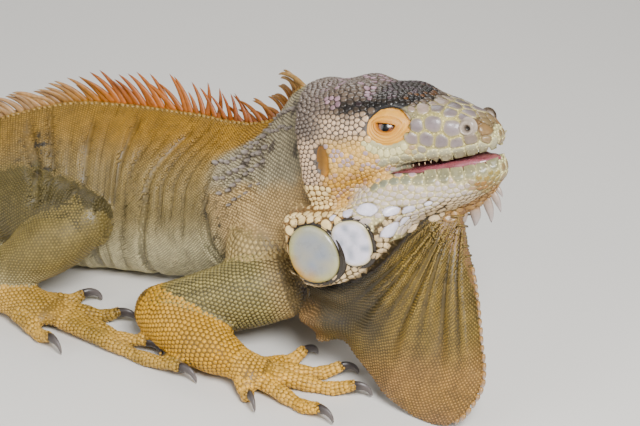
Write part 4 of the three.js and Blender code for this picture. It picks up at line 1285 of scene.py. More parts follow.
def headColour(q, kind, each):
    # core and rim of every plate, by its place in the head's frame and by its kind
    x, z = q[:, 0], q[:, 2]
    core = blend("temple", "cheek", rise(x, -2, 6) * rise(-z, -14, -6))
    rim = mix(hue["nape"][None] * 0.6, hue["cheekRim"], rise(-z, -12, -4) * rise(x, -4, 6))
    spot = (each[:, 0] < 0.36) & (z < 8) & (z > -24) & (x > 2)
    core = blend(core, "cheekSpot", 0.85 * spot)
    crown = rise(z, 19, 26)
    core, rim = both(core, rim, crown, "crown", "crown", 0.45)
    core = blend(core, "crownPink", (each[:, 1] < 0.3) * crown * rise(z, 24, 28))
    nape = rise(-x, -8, 6) * rise(z, 6, 16)
    core, rim = both(core, rim, nape, "nape", "neckDark")
    patchy = rise(scatter(fromHead(q), 6, 71), 0.0, 0.5) * rise(-x, -30, -22) * rise(z, 4, 12)
    core = blend(core, "neckDark", 0.45 * patchy)
    brow = rise(z, 21.5, 25) * rise(x, 24, 34) * rise(-x, -74, -60)
    brow = np.maximum(brow * 0.85, bell(z, 26, 3.6) * rise(x, 8, 16) * rise(-x, -66, -58))
    core, rim = both(core, rim, brow, "brow", "brow", 0.7)
    core = blend(core, "noseRust", 0.4 * brow * (each[:, 0] > 0.85) * rise(x, 40, 48))
    snout = rise(x, 47, 52) * rise(z, -4, 0) * rise(-z, -24, -19)
    core, rim = both(core, rim, snout, "snout", "snoutRim")
    top = rise(x, 58, 64) * rise(z, 17, 20)
    core, rim = blend(core, "brow", 0.55 * top), rim * (1 - 0.3 * top[:, None])
    nose = rise(x, 76, 82)
    core, rim = both(core, rim, nose, "noseFront", "noseFront", 0.8)
    rust = bell(x + 0.3 * np.abs(q[:, 1]), 90.5, 2.8) * rise(z, -3, 1)
    core, rim = blend(core, "noseRust", 0.75 * rust), mix(rim, hue["noseRust"] * 0.8, rust)
    lip = rise(x, 34, 40) * rise(-z, -1.5, 1.5) * rise(z, -13, -11)
    core, rim = both(core, rim, lip, "lipUpper", "lipRim")
    streak = bell(z, -14 + 0.12 * (x - 4), 6.5) * rise(x, -6, 2) * rise(-x, -30, -18)
    core, rim = both(core, rim, 0.8 * streak, "streak", "streak", 0.8)
    low = rise(-z, 15, 19) * rise(x, 8, 18)
    core, rim = both(core, rim, low, "jowl", "jowlRim")
    throat = rise(-z, 40, 48)
    core, rim = both(core, rim, throat, "throat", "throat", 0.5)
    chin = rise(x, 72, 80) * rise(-z, 10, 14)
    core, rim = both(core, rim, chin, "chin", "lipRim", 0.8)
    stain = np.exp(-(((x - 80) / 5) ** 2) - (((z + 23) / 3.5) ** 2))
    core, rim = blend(core, "noseRust", 0.9 * stain), blend(rim, "noseRust", 0.7 * stain)
    rear = rise(-x, -4, 2) * rise(-z, 14, 20)
    core, rim = both(core, rim, rear, "squares", "squareRim")
    for name, a, b in (
        ("lipUpper", "lipUpper", "lipRim"), ("eyeShelf", "lipRim", "lipRim"),
        ("shields", "shield", "edgeRim"),
        ("squares", "squares", "squareRim"), ("edges", "edge", "edgeRim"), ("rostral", "noseFront", "lipRim"),
    ):
        core, rim = both(core, rim, ofKind(kind, name) * 1.0, a, b)
    lower = ofKind(kind, "lipLower") * 1.0
    lipTone = blend("lipLowerRear", "lipLower", rise(x, 38, 54))
    core = mix(core, lipTone, lower * (1 - 0.6 * stain))
    rim = mix(rim, hue["lipRim"] * 0.85, lower * (1 - stain))
    near = rise(np.interp(x, *throatFold) + 5 - z, 0, 3) * rise(-z, 24, 28) * rise(x, 30, 40)
    core, rim = blend(core, "edge", 0.85 * near), blend(rim, "edgeRim", near)
    under = underChin(q) * 1.0
    core, rim = both(core, rim, under, "flapRoot", "flapRoot", 0.45)
    worn = 0.88 + 0.24 * each[:, 2:3]
    return core * worn, rim * (0.5 + 0.5 * worn)


def layPlates(name, mask, directions, slot):
    # each plate: a buried edge, a shoulder, a crown ring and a middle, all lying on the skin's curve
    root, normal, reach, kind = keep(mask, seeds, seedNormal, reachNow, seedKind)
    q = toHead(root)
    isLip = ofKind(seedKind, "lipUpper", "lipLower")
    full = isLip | ofKind(seedKind, "shields", "squares", "edges")
    lengthen = np.where(full & ~ofKind(seedKind, "shields"), 1.0, jowlStretch(toHead(seeds)))
    gap = np.clip(0.13 * reachNow, 0.24, 0.45)
    cells = powerCells(seeds, seedNormal, reachNow, lengthen, directions, gap, full)
    ahead, across, x, y = keep(mask, *cells)
    each = np.random.default_rng(31).random((len(seeds), 3))[mask]
    height = 0.34 + 0.12 * reach + 0.5 * rise(-q[:, 0], 0, 8) * rise(q[:, 2], 8, 16)
    height = height * np.where(isLip[mask], 0.6, 1)
    levels = [(1.0, -0.6), (0.97, 0.40), (0.80, 0.88), (0.42, 1.0)]
    flat = []
    for share, _ in levels:
        along = ahead[:, None] * (x * share)[..., None] + across[:, None] * (y * share)[..., None]
        flat.append(root[:, None] + along)
    flat.append(root[:, None])
    flat = np.concatenate(flat, 1)
    on, out = (found.reshape(flat.shape) for found in ontoSkin(flat.reshape(-1, 3)))
    drift = np.linalg.norm(on - flat, axis=2, keepdims=True)
    on = np.where(drift < 1.6, on, flat)
    edge = toHead(on)
    upper, lower = (np.interp(edge[..., 0], lipAt, heights) for heights in (lipRoof, lipFloor))
    isUpper, isLower = (ofKind(kind, name)[:, None] for name in ("lipUpper", "lipLower"))
    edge[..., 2] = np.where(isUpper, np.maximum(edge[..., 2], upper - 1.0), edge[..., 2])
    edge[..., 2] = np.where(isLower, np.minimum(edge[..., 2], lower + 0.4), edge[..., 2])
    on = np.where((isUpper | isLower)[..., None], fromHead(edge), on)
    out = unit(0.5 * out + normal[:, None])
    lift = np.concatenate([np.full(directions, level) for _, level in levels] + [[1.0]])
    lift = np.where(lift < 0, -0.5, lift * height[:, None])
    points = on + out * lift[..., None]
    shade = np.concatenate([np.full(directions, v) for v in (0.0, 0.25, 0.9, 1.0)] + [[1.0]])
    core, rim = headColour(q, kind, each)
    colour = mix(rim[:, None], core[:, None], shade[None, :, None] + 0 * points[..., :1])
    i = np.arange(directions)
    n = (i + 1) % directions
    faces = []
    for r in range(len(levels) - 1):
        a, b = r * directions, (r + 1) * directions
        faces += [np.stack([a + i, a + n, b + n], -1), np.stack([a + i, b + n, b + i], -1)]
    a = (len(levels) - 1) * directions
    faces.append(np.stack([a + i, a + n, np.full(directions, len(levels) * directions)], -1))
    faces.append(np.stack([np.zeros(directions - 2, int), i[2:], i[1:-1]], -1))
    uv = np.stack([0.5 + q[:, 0] / 400, 0.5 + np.arctan2(q[:, 1], q[:, 2]) / 7], -1)
    spread = [np.stack([x * share, y * share], -1) for share, _ in levels]
    spread = np.concatenate([*spread, np.zeros((len(root), 1, 2))], 1)
    patch = uv[:, None] + 0.0015 * spread / reach[:, None, None]
    gather(name, np.concatenate(faces), slot, points, colour, patch)
    skinRoots.append(root)
    # the skin between the plates, darker than their rims: the darker skin, with painted shade in the gaps
    skinTints.append(rim * 0.62)


large = reachNow > 2.35
layPlates("plates_head_large", large, 18, "face")
layPlates("plates_head", ~large, 9, "face")


# spikes, horns and claws


def hornSet(name, slot, root, up, lean, length, breadth, thick, bend, base, tip, detail):
    # centre = root + length (up sin(bend t) + lean (1 - cos(bend t))) / bend, rings as wide as (1 - t)^taper
    detail = {"rows": 6, "columns": 6, "taper": 0.8, "leaf": 0.0, "bury": 1.2, "warm": 1.0, **detail}
    rows, columns = detail["rows"], detail["columns"]
    n = len(root)
    sizes = length, breadth, thick, bend
    length, breadth, thick, bend = (np.broadcast_to(np.asarray(v, float), n)[:, None, None] for v in sizes)
    up, lean, base, tip = (np.broadcast_to(np.asarray(v, float), (n, 3)) for v in (up, lean, base, tip))
    up = unit(up)
    lean = unit(lean - up * (lean * up).sum(1, keepdims=True))
    side = np.cross(up, lean)[:, None]
    up, lean = up[:, None], lean[:, None]
    t = (np.arange(rows) / rows)[None, :, None]
    centre = root[:, None] + length * (up * np.sin(bend * t) + lean * (1 - np.cos(bend * t))) / bend
    along = up * np.cos(bend * t) + lean * np.sin(bend * t)
    broad = np.cross(side, along)
    size = (1 - t) ** detail["taper"] * (1 + detail["leaf"] * np.sin(np.pi * t))
    angle = 2 * np.pi * np.arange(columns) / columns
    ring = centre[:, :, None] + (broad * breadth * size)[:, :, None] * np.cos(angle)[:, None]
    ring = ring + (side * thick * size)[:, :, None] * np.sin(angle)[:, None]
    foot = ring[:, :1] - (up * detail["bury"])[:, :, None]
    end = root[:, None] + length * (up * np.sin(bend) + lean * (1 - np.cos(bend))) / bend
    points = np.concatenate([foot.reshape(n, -1, 3), ring.reshape(n, -1, 3), end], 1)
    i = np.arange(columns)
    k = (i + 1) % columns
    faces = []
    for r in range(rows):
        a, b = r * columns, (r + 1) * columns
        faces += [np.stack([a + i, b + k, a + k], -1), np.stack([a + i, b + i, b + k], -1)]
    last = rows * columns
    faces.append(np.stack([last + i, np.full(columns, last + columns), last + k], -1))
    faces.append(np.stack([np.zeros(columns - 2, int), i[1:-1], i[2:]], -1))
    share = np.concatenate([np.zeros(columns), np.repeat(np.arange(rows) / rows, columns), [1.0]])
    share = share ** detail["warm"]
    colour = mix(base[:, None], tip[:, None], share[None, :, None] + 0 * points[..., :1])
    uv = 0.5 + root[:, None, [0, 2]] / 4000 + 0.003 * np.stack([np.cos(np.arange(len(share))), share], -1)
    points[..., 2] = np.maximum(points[..., 2], 0.05)
    gather(name, np.concatenate(faces), slot, points, colour, uv)


def toneAlong(names, share):
    # colour along a list of named hues, share from 0 to 1 through the list
    return spline([hue[name] for name in names], share * (len(names) - 1))


crest = {
    "from": 0.42, "to": 15.0, "height": 26, "pitch": 4.2,
    "tilt": (
        [0, 0.9, 2.3, 2.7, 3.9, 4.4, 5.4, 5.8, 6.3, 6.6, 9, 15],
        [0.2, 0.3, 0.4, 0.0, 0.0, 0.35, 0.45, 0.6, 0.6, 0.5, 0.7, 0.8],
    ),
    "bend": ([0, 0.9, 2.3, 2.7, 3.9, 5.6, 6.5, 9, 15], [0.9, 1.2, 0.9, 0.5, 0.5, 0.55, 0.85, 0.9, 0.5]),
    "hues": [
        "spineNape", "spineCurl", "spineRust", "spineOrange", "spineOrange", "spineRose", "spinePale",
        "spineTail",
    ],
    "tips": [
        "spineTip", "spineTip", "spineRust", "spineOrange", "spineRust", "spinePale", "spinePale", "spineTail"
    ],
    "hueAt": ([0.4, 1.2, 2.6, 4.2, 5.3, 6.0, 6.9, 10], [0, 1, 2, 3, 4, 5, 6, 7]),
}


def growCrest():
    # blades at even steps along the ridge, as tall as height * swell * fall, each a little different
    u = np.linspace(crest["from"], crest["to"], 3000)
    ridge = bodyPoint(u, np.pi / 2)
    run = np.concatenate([[0], np.cumsum(np.linalg.norm(np.diff(ridge, axis=0), axis=1))])
    at = np.interp(np.arange(0, run[-1], crest["pitch"]), run, u)
    chance = dice(4 * len(at), 41).reshape(4, -1)
    at = at + (chance[0] - 0.5) * 0.05
    root = bodyPoint(at, np.pi / 2)
    front = unit(bodyPoint(at - 0.05, np.pi / 2) - bodyPoint(at + 0.05, np.pi / 2))
    out = unit(root - bodyPoint(at, np.pi / 2, 0.6))
    side = np.cross(out, front)
    swell = 0.8 + 0.2 * bell(at, 4.6, 1.2) - 0.12 * bell(at, 3.3, 0.5)
    fall = 1 - rise(at, 7.8, 11.5)
    tall = crest["height"] * swell * fall * (0.78 + 0.34 * chance[1])
    tall = tall + 2.6 * rise(at, 8, 11) * (1 - 0.4 * rise(at, 11, 15))
    tall = tall * (1 - 0.35 * (chance[2] < 0.16))
    unrest = np.interp(at, [2, 2.6, 4, 4.5], [0.3, 1.1, 1.1, 0.3])
    tilt = np.interp(at, *crest["tilt"]) + (chance[3] - 0.5) * unrest
    swing = ((chance[2] * 7) % 1 - 0.5) * 0.36
    up = out * np.cos(tilt)[:, None] - front * np.sin(tilt)[:, None] + side * swing[:, None]
    lean = -front * np.cos(tilt)[:, None] - out * np.sin(tilt)[:, None]
    share = np.interp(at, *crest["hueAt"]) / (len(crest["hues"]) - 1)
    tone = (0.82 + 0.36 * chance[1])[:, None]
    base, tip = toneAlong(crest["hues"], share) * tone, toneAlong(crest["tips"], share) * tone
    wide = 1.25 + 0.055 * tall
    thick, bend = 0.55 + 0.03 * tall, np.interp(at, *crest["bend"])
    hornSet("crest", "crest", root - out * 0.6, up, lean, tall, wide, thick, bend, base, tip, {
        "rows": 8, "columns": 6, "taper": 0.62, "bury": 2.5,
    })
    # a row of pale cones along each side of the crest
    step = np.interp(np.arange(0, run[-1] * 0.62, 3.4), run, u)
    for angle in (85.5, 94.5):
        root, normal = ontoSkin(bodyPoint(step, math.radians(angle)))
        back = -unit(bodyPoint(step - 0.05, np.pi / 2) - bodyPoint(step + 0.05, np.pi / 2))
        pale = hue["crestRow"]
        size = 1.3 * (1 - 0.4 * rise(step, 8, 11)) * (0.8 + 0.4 * dice(len(step), 43 + int(angle)))
        sizes = size * 1.25, size, size * 0.9
        hornSet("crest_row", "crest", root, normal + 0.6 * back, back, *sizes, 0.5, pale * 0.8, pale, {
            "rows": 3, "columns": 7, "taper": 0.6, "bury": 0.8,
        })


growCrest()


def growChin():
    # leaf shaped spikes along the fold under the chin, then a saw edge down the front of the flap
    u, size, broad = np.array(chin["spikes"]).T
    x, z = spline(chin["fold"], u).T
    root = fromHead(np.stack([x, 0 * x, z + 1.2], -1))
    forward = np.interp(u, [0.9, 2.75, 3.9], [-0.08, 0.34, 0.75])
    up = np.stack([forward, 0 * u - 0.05, 0 * u - 0.95], -1) @ headTurned
    tones = hue["spikeRoot"], hue["spike"]
    hornSet("chin_spikes", "face", root, up, -headTurned[0], size + 1.2, broad, 1.1, 0.45, *tones, {
        "rows": 8, "columns": 8, "taper": 0.62, "leaf": 0.35, "bury": 2.0, "warm": 0.4,
    })
    u = np.linspace(0.13, 0.46, 20)
    root = dewlapPoint(u, np.pi)
    out = unit(root - dewlapPoint(u, 0.82 * np.pi))
    down = unit(dewlapPoint(u + 0.01, np.pi) - dewlapPoint(u - 0.01, np.pi))
    size = 1.9 + 1.5 * dice(len(u), 47)
    tones = hue["flapRoot"], hue["spike"]
    root, up = root - out * 0.6, out + 0.5 * down
    hornSet("chin_spikes", "face", root, up, down, size, size * 0.62, 1.3, 0.6, *tones, {
        "rows": 8, "columns": 8, "taper": 0.6, "bury": 1.5,
    })


growChin()

tubercleRows = [  # station and angle at the first and last of each row, how many, and their size
    ((2.75, 41), (1.3, 49), 10, 3.3), ((2.6, 29), (1.2, 34), 9, 3.2), ((2.45, 18), (1.2, 22), 8, 2.8),
    ((2.3, 8), (1.4, 9), 6, 2.2), ((1.3, 60), (0.3, 56), 8, 2.6), ((1.15, 46), (0.3, 40), 7, 2.4),
    ((2.1, 54), (1.4, 57), 5, 2.2),
]


def growTubercles():
    # cones in rows across the side of the neck, the same on both sides
    for (u0, a0), (u1, a1), count, size in tubercleRows:
        t = np.linspace(0, 1, count)
        for flip in (False, True):
            jitter = dice(2 * count, 57 + int(a0)).reshape(2, -1) - 0.5
            angle = mix(a0, a1, t) + 3.5 * jitter[0]
            angle = 180 - angle if flip else angle
            u = mix(u0, u1, t) + 0.05 * jitter[1]
            # the body's section starts on the animal's left, so the right side is past the ridge
            p = bodyPoint(u, np.radians(180 - angle))
            root, normal = ontoSkin(p)
            back = unit(bodyPoint(u + 0.05, np.pi / 2) - bodyPoint(u - 0.05, np.pi / 2))
            reach = size * (0.85 + 0.3 * dice(count, 51 + int(a0)))
            sizes, tones = (reach, reach * 0.62, reach * 0.52), (hue["neckDark"], hue["tubercle"])
            hornSet("neck_tubercles", "hide", root, normal + 0.5 * back, back, *sizes, 0.7, *tones, {
                "rows": 4, "columns": 9, "taper": 0.55, "bury": 1.0,
            })


growTubercles()


def growClaws():
    # hooked claws, narrow from side to side, from the end of every digit down to the floor
    for where, limb in limbs.items():
        for root, end in zip(limb["roots"], limb["ends"]):
            line = np.array(digitLine(root, end, limb["thick"]))
            way = line[-1, :3] - line[-2, :3]
            way[2] = 0
            way = unit(way)[None]
            at = line[-1, :3][None] + way * 0.6 * line[-1, 3]
            down, tones = np.array([0, 0, -1.0]), (hue["clawRoot"], hue["clawTip"])
            length = limb["claw"] * (0.95 if where == "fore_left" else 1.35)
            up, broad, thick = way * 0.95 - down * 0.25, line[-1, 3] * 0.82, line[-1, 3] * 0.5
            hornSet(f"claws_{where}", "claw", at, up, down, length, broad, thick, 1.75, *tones, {
                "rows": 8, "columns": 10, "taper": 0.62, "bury": 3.0, "warm": 0.8,
            })


growClaws()


def growTeeth():
    # a row of small pointed teeth just inside the upper lip
    x = np.arange(43, 59, 2.9)
    half = np.interp(x, [40, 56, 70, 81, 88], [27, 21.2, 15.6, 10.4, 5.5])
    lip = np.interp(x, lipAt, lipRoof)
    for side in (-1, 1):
        root = fromHead(np.stack([x, side * half, lip + 0.4], -1))
        tones = hue["tooth"], hue["tooth"]
        hornSet("teeth", "mouth", root, -headTurned[2], headTurned[0], 0.5, 0.4, 0.32, 0.3, *tones, {
            "rows": 3, "columns": 6, "taper": 0.6, "bury": 1.0,
        })


growTeeth()


def shoulderPoint(centre, radii):
    # centre + radii * a unit ball, from its lowest point at 0 to its highest at 1
    def point(u, angle):
        u, angle = sameShape(u, angle)
        polar = np.pi * (1 - u)
        ball = np.stack([np.sin(polar) * np.cos(angle), np.sin(polar) * np.sin(angle), np.cos(polar)], -1)
        return np.array(centre) + np.array(radii) * ball

    return point


for where in ("fore_right", "fore_left"):
    ball = shoulderPoint(*limbs[where]["shoulder"])
    coatOn(f"scales_upper_arm_{where}", keeled, ball, 0.22, 0.8, 3.1, 0.6, limbTint("shoulder"), "limb", {
        "rim": 0.45, "slack": 5.0,
    })


def nearestRoots():
    # for every point of the skin, the nearest root of the coat and that root's tint
    roots, tints = np.concatenate(skinRoots), np.concatenate(skinTints)
    source = makeObject("roots", roots, [])
    probe = makeObject("probe", skinPoints, [])
    found = []
    for values in (roots / 1000, tints):
        for piece, colours in ((source, values), (probe, np.zeros((len(skinPoints), 3)))):
            paint(piece, colours, "carried")
        carry = probe.modifiers.new("Carry", "DATA_TRANSFER")
        carry.object = source
        carry.use_vert_data = True
        carry.data_types_verts = {"COLOR_VERTEX"}
        carry.vert_mapping = "NEAREST"
        done = probe.evaluated_get(bpy.context.evaluated_depsgraph_get())
        rgba = everyValue(done.data.color_attributes["carried"].data, "color", width=4)
        found.append(rgba.reshape(-1, 4)[:, :3].astype(float))
        probe.modifiers.clear()
        for piece in (source, probe):
            piece.data.color_attributes.remove(piece.data.color_attributes["carried"])
    for piece in (source, probe):
        bpy.data.objects.remove(piece)
    return found[0] * 1000, found[1]


def fillBare():
    # small scales where the folds of the limbs left the skin bare: one to a cell of a cubic lattice
    closest, tint = nearestRoots()
    away = np.linalg.norm(closest - skinPoints, axis=1)
    q = toHead(skinPoints)
    limit = np.where(skinPoints[:, 0] < -150, 3.0, 2.1)
    bare = (away > limit) & ~offPlaces(q) & (skinPoints[:, 2] > 0.3)
    tint = mix(tint, hue["flapPink"] * 0.5, underChin(q) * 1.0)
    p, n, c = keep(bare, skinPoints, skinNormals, tint)
    cell = 2.2
    _, first = np.unique(np.floor(p / cell).astype(int), axis=0, return_index=True)
    p, n, c = p[first], n[first], c[first]
    for _ in range(10):
        p = p + 0.6 * pushApart(p, 2.5)
    p, n = ontoSkin(p)
    wide = np.full(len(p), 2.3)
    back = np.broadcast_to([-1.0, 0.1, -0.1], p.shape)
    uv = p[:, [0, 2]] / 4000 + 0.5
    layScales("scales_joints", bead, p, n, back, wide, wide, wide * 0.28, c * 2.1, c * 1.1, uv, "limb")


fillBare()
makeCoat()
print("coat done")

# lids, eyes, ears, shields and mouth


def sideAt(x, z, side, spread=0.9):
    # how far out the skin lies at (x, z) of one side of the head, a weighted mean of what is near
    q = toHead(skinPoints)
    q = q[(q[:, 1] * side > 14) & (np.abs(q[:, 0] - x.mean()) < 45) & (np.abs(q[:, 2] - z.mean()) < 40)]
    away = (x[:, None] - q[:, 0]) ** 2 + (z[:, None] - q[:, 2]) ** 2
    weight = np.exp(-away / spread**2) + 1e-12
    return (weight * np.abs(q[:, 1])).sum(1) / weight.sum(1)


def outerAt(x, z, rows, side):
    # the same fitted over some of the rows by y = c0 + c1 x + c2 z + c3 x^2 + c4 x z + c5 z^2
    powers = np.stack([x**0, x, z, x * x, x * z, z * z], -1)
    known = sideAt(x[rows].ravel(), z[rows].ravel(), side, 2.0)
    return powers @ np.linalg.lstsq(powers[rows].reshape(-1, 6), known, rcond=None)[0]


def grid(rings):
    # the quads between rings of equally many points
    rows, columns, _ = rings.shape
    i = np.arange(columns)
    k = (i + 1) % columns
    r = (np.arange(rows - 1) * columns)[:, None]
    return np.stack([r + i, r + k, r + columns + k, r + columns + i], -1).reshape(-1, 4)


def capped(rings, colour, middleColour):
    # rings closed by a point at the middle of the last one
    count, columns, _ = rings.shape
    points = np.concatenate([rings.reshape(-1, 3), rings[-1].mean(0)[None]])
    i = np.arange(columns)
    last = (count - 1) * columns
    fan = np.stack([last + i, last + (i + 1) % columns, np.full(columns, len(points) - 1)], -1)
    return fromHead(points), [grid(rings), fan], np.concatenate([colour.reshape(-1, 3), middleColour[None]])


def addPiece(name, points, faces, colour, slot, side=1):
    # faces are turned over on the right side, whose points are a mirror image
    faces = [f[:, ::-1] for f in faces] if side < 0 else faces
    piece = makeObject(name, points, faces)
    paint(piece, colour)
    coatPieces.append((piece, slot))
    return piece


lid = {
    "middle": (38.2, 15.5), "half": 5.0, "above": 0.6, "below": 4.1, "turn": -15,
    "ball": (38.0, 14.2), "radius": 11, "under": 1.3, "bulge": 1.9, "sunk": 0.5,
}


def lidPlane(side):
    # the plane y = a + b x + c z through the orbit's rim, its outward direction and the middle of the eyeball
    angle = np.linspace(0, 2 * np.pi, 112, endpoint=False)
    x = orbit["centre"][0] + orbit["long"] * 1.06 * np.cos(angle)
    z = orbit["centre"][1] + orbit["tall"] * 1.06 * np.sin(angle)
    rim = sideAt(x, z, side) - lid["sunk"]
    plane = np.linalg.lstsq(np.stack([x**0, x, z], -1), rim, rcond=None)[0]
    out = unit(np.array([-plane[1], 1.0, -plane[2]]))
    ballX, ballZ = lid["ball"]
    front = np.array([ballX, plane @ [1, ballX, ballZ] + lid["bulge"], ballZ])
    return x, z, rim, plane, out, front - out * (lid["radius"] + lid["under"])


def makeLids(side, name):
    # from the slit's edge to the orbit's rim: P = mix(slit, rim, t), out to a dome, with rings of wrinkles
    columns, rows = 112, 44
    angle = 2 * np.pi * np.arange(columns) / columns
    c, s = np.cos(angle), np.sin(angle)
    tall = np.where(s > 0, lid["above"], lid["below"]) * np.sign(s) * np.abs(s) ** np.where(s > 0, 0.8, 0.9)
    turn = math.radians(lid["turn"])
    slitX = lid["middle"][0] + lid["half"] * c * math.cos(turn) - tall * math.sin(turn)
    slitZ = lid["middle"][1] + lid["half"] * c * math.sin(turn) + tall * math.cos(turn)
    rimX, rimZ, rim, plane = lidPlane(side)[:4]
    t = np.linspace(0, 1, rows)[:, None]
    x, z = mix(slitX, rimX, t), mix(slitZ, rimZ, t)
    away = np.hypot(x - lid["ball"][0], z - lid["ball"][1])
    dome = plane[0] + plane[1] * x + plane[2] * z + lid["bulge"] * (1 - (away / 13.5) ** 2)
    y = mix(dome, rim[None], rise(t, 0.25, 1.0))
    lower = rise(-s, -0.35, 0.3)[None]
    wrinkle = 0
    for at, deep, wide in ((0.19, 0.28, 0.035), (0.36, 0.4, 0.04), (0.53, 0.3, 0.04), (0.72, 0.25, 0.05)):
        wrinkle = wrinkle + lower * deep * bell(t + 0.03 * np.sin(3 * angle + at * 9), at, wide)
    for at, deep, wide in ((0.30, 0.55, 0.045), (0.60, 0.25, 0.06)):
        wrinkle = wrinkle + (1 - lower) * deep * bell(t + 0.05 * np.cos(angle), at, wide)
    edge = bell(t, 0.06, 0.05) * 0.35
    y = y - wrinkle + edge
    rings = np.stack([x, y, z], -1)
    inner = []
    for share, depth in ((0.93, 0.9), (0.88, 2.2), (0.9, 4.0)):
        ix = lid["middle"][0] + (slitX - lid["middle"][0]) * share
        iz = lid["middle"][1] + (slitZ - lid["middle"][1]) * share
        inner.append(np.stack([ix, y[0] - depth, iz], -1))
    outer = rings[-1] - [0, 2.0, 0]
    rings = np.concatenate([np.stack(inner[::-1]), rings, outer[None]])
    deep = np.concatenate([np.ones((3, columns)) * 0.9, wrinkle + 0 * x, np.ones((1, columns)) * 0.5])
    share = np.concatenate([np.zeros((3, 1)), t, np.ones((1, 1))]) + 0 * rings[..., 0]
    colour = blend("lidInner", "lid", rise(share, 0.02, 0.3))
    colour = blend(colour, "lidRim", 0.75 * rise(share, 0.72, 0.98))
    # painted shade in the wrinkles, in the slit and in the sunk outer ring, as deep as they are
    colour = blend(colour, "creaseShade", np.clip(deep, 0, 1) * 0.75)
    below = rise(share, 0.9, 1.0) * rise(-s, 0.25, 0.7)[None]
    colour = blend(colour, "lidShadow", 0.8 * below)
    # the upper rim darkened with the brow's hue: painted shadow under the brow's overhang
    colour = blend(colour, "brow", 0.75 * rise(share, 0.82, 1.0) * rise(s, 0.35, 0.8)[None])
    rings[..., 1] *= side
    points, faces = fromHead(rings.reshape(-1, 3)), [grid(rings)[:, ::-1]]
    return addPiece(f"lids_{name}", points, faces, colour.reshape(-1, 3), "face", side)


def makeEye(side, name):
    # a ball with a clear bulge in front; brown iris, round pupil, one wet surface
    rows, columns = 36, 48
    away = np.linspace(0, 1.25, rows)[1:, None]
    angle = 2 * np.pi * np.arange(columns)[None] / columns
    bulge = lid["radius"] + 0.35 * np.exp(-((away / 0.42) ** 2))
    wide = bulge * np.sin(away)
    flat = np.stack([wide * np.cos(angle), bulge * np.cos(away) + 0 * angle, wide * np.sin(angle)], -1)
    out, ball = lidPlane(side)[4:]
    ahead = unit(np.cross(out, [0, 0, 1]))
    swing = np.stack([ahead, out, np.cross(ahead, out)])
    points = np.concatenate([flat.reshape(-1, 3), [[0, lid["radius"] + 0.35, 0]]]) @ swing + ball
    print("eyeball", name, ball.round(1), "looks along", out.round(2))
    streak = 0.75 + 0.35 * np.sin(angle * 23 + 2 * np.sin(angle * 7)) * rise(away, 0.2, 0.3)
    iris = blend("irisInner", "iris", rise(away, 0.24, 0.42) + 0 * angle)
    iris = iris * streak[..., None]
    colour = mix(hue["pupil"][None, None], iris, rise(away, 0.195, 0.215) + 0 * angle)
    colour = blend(colour, "eyeWhite", rise(away, 0.52, 0.58) + 0 * angle)
    colour = np.concatenate([colour.reshape(-1, 3), hue["pupil"][None]])
    points[:, 1] *= side
    i = np.arange(columns)
    fan = np.stack([i, (i + 1) % columns, np.full(columns, len(points) - 1)], -1)
    quads = grid(flat)
    return addPiece(f"eye_ball_{name}", fromHead(points), [quads, fan[:, ::-1]], colour, "eye", side)


def makeDisc(name, side, disc, slot):
    # a plate with a rounded edge: outline |a|^n + |b|^n = 1, out = fitted skin + dome (1 - r^4) + rim roll
    columns = 96
    angle = 2 * np.pi * np.arange(columns) / columns
    c, s = np.cos(angle), np.sin(angle)
    power = 2 / disc["square"]
    a = np.sign(c) * np.abs(c) ** power * disc["long"] * (1 + disc.get("egg", 0) * s)
    b = np.sign(s) * np.abs(s) ** power * disc["tall"]
    turn = math.radians(disc["turn"])
    share = np.array([1.0] * 5 + [0.985, 0.95, 0.9, 0.8, 0.66, 0.5, 0.34, 0.18, 0.05])[:, None] + 0 * angle
    wide = disc.get("collar", 0.0) / disc["long"] * (0.66 + 0.34 * np.cos(angle + 0.6))
    share[:4] += np.array([1.1, 1.0, 0.5, 0.02])[:, None] * wide
    x = disc["at"][0] + share * (a * math.cos(turn) - b * math.sin(turn))
    z = disc["at"][1] + share * (a * math.sin(turn) + b * math.cos(turn))
    if "plane" in disc:
        base = planeOut(disc, x, z)
    else:
        base = outerAt(x, z, slice(1, None, 2), side)
        base = mix(base, base.mean(), 0.15)
    lift = disc["lift"] + disc["dome"] * (1 - np.minimum(share, 1) ** 4)
    roll = np.array([-6.0, -0.9, -0.8, -1.3, -0.3, 0.35, 0.75, 0.85, 0.6, 0.3, 0.1, 0, 0, 0])
    roll = roll[:, None] * disc["roll"]
    rings = np.stack([x, side * (base + lift + roll), z], -1)
    shade = disc["colour"](np.minimum(share, 1) + 0 * x, angle[None] + 0 * x, x, z)
    # a dark line where the collar meets the skin: painted shade in the seam
    shade = blend(shade, "seam", rise(share, 0.992, 1.0) * (disc.get("collar", 0) > 0))
    return addPiece(name, *capped(rings, shade, shade[-1].mean(0)), slot, side)


def pearl(share, angle, x, z):
    # grey pearl in the middle, a yellow green rim, orange low at the back
    cloud = scatter(np.stack([x, z, 0 * x], -1).reshape(-1, 3), 5, 61).reshape(x.shape)
    c = blend("pearl", "pearlCool", 0.5 + 0.5 * cloud)
    rim = rise(share + 0.08 * cloud, 0.58, 0.95)
    c = blend(c, "pearlRim", rim * (0.55 - 0.35 * np.cos(angle - 0.6)))
    low = rise(-np.cos(angle), -0.3, 0.7) * rise(share + 0.15 * cloud, 0.45, 0.85)
    c = blend(c, "pearlRust", 0.7 * low * rise(-z, 46, 58))
    return blend(c, "pearlLine", 0.8 * rise(share, 0.955, 0.99))


def lavender(share, angle, x, z):
    # white, clouded with grey blue, warmer at the rim
    cloud = scatter(np.stack([x, z, 0 * x], -1).reshape(-1, 3), 4, 62).reshape(x.shape)
    c = blend("shield", "pearlCool", np.clip(0.3 + 0.6 * cloud, 0, 1))
    c = blend(c, "shieldRim", 0.7 * rise(share, 0.8, 0.97))
    return blend(c, "pearlLine", 0.7 * rise(share, 0.96, 0.99))


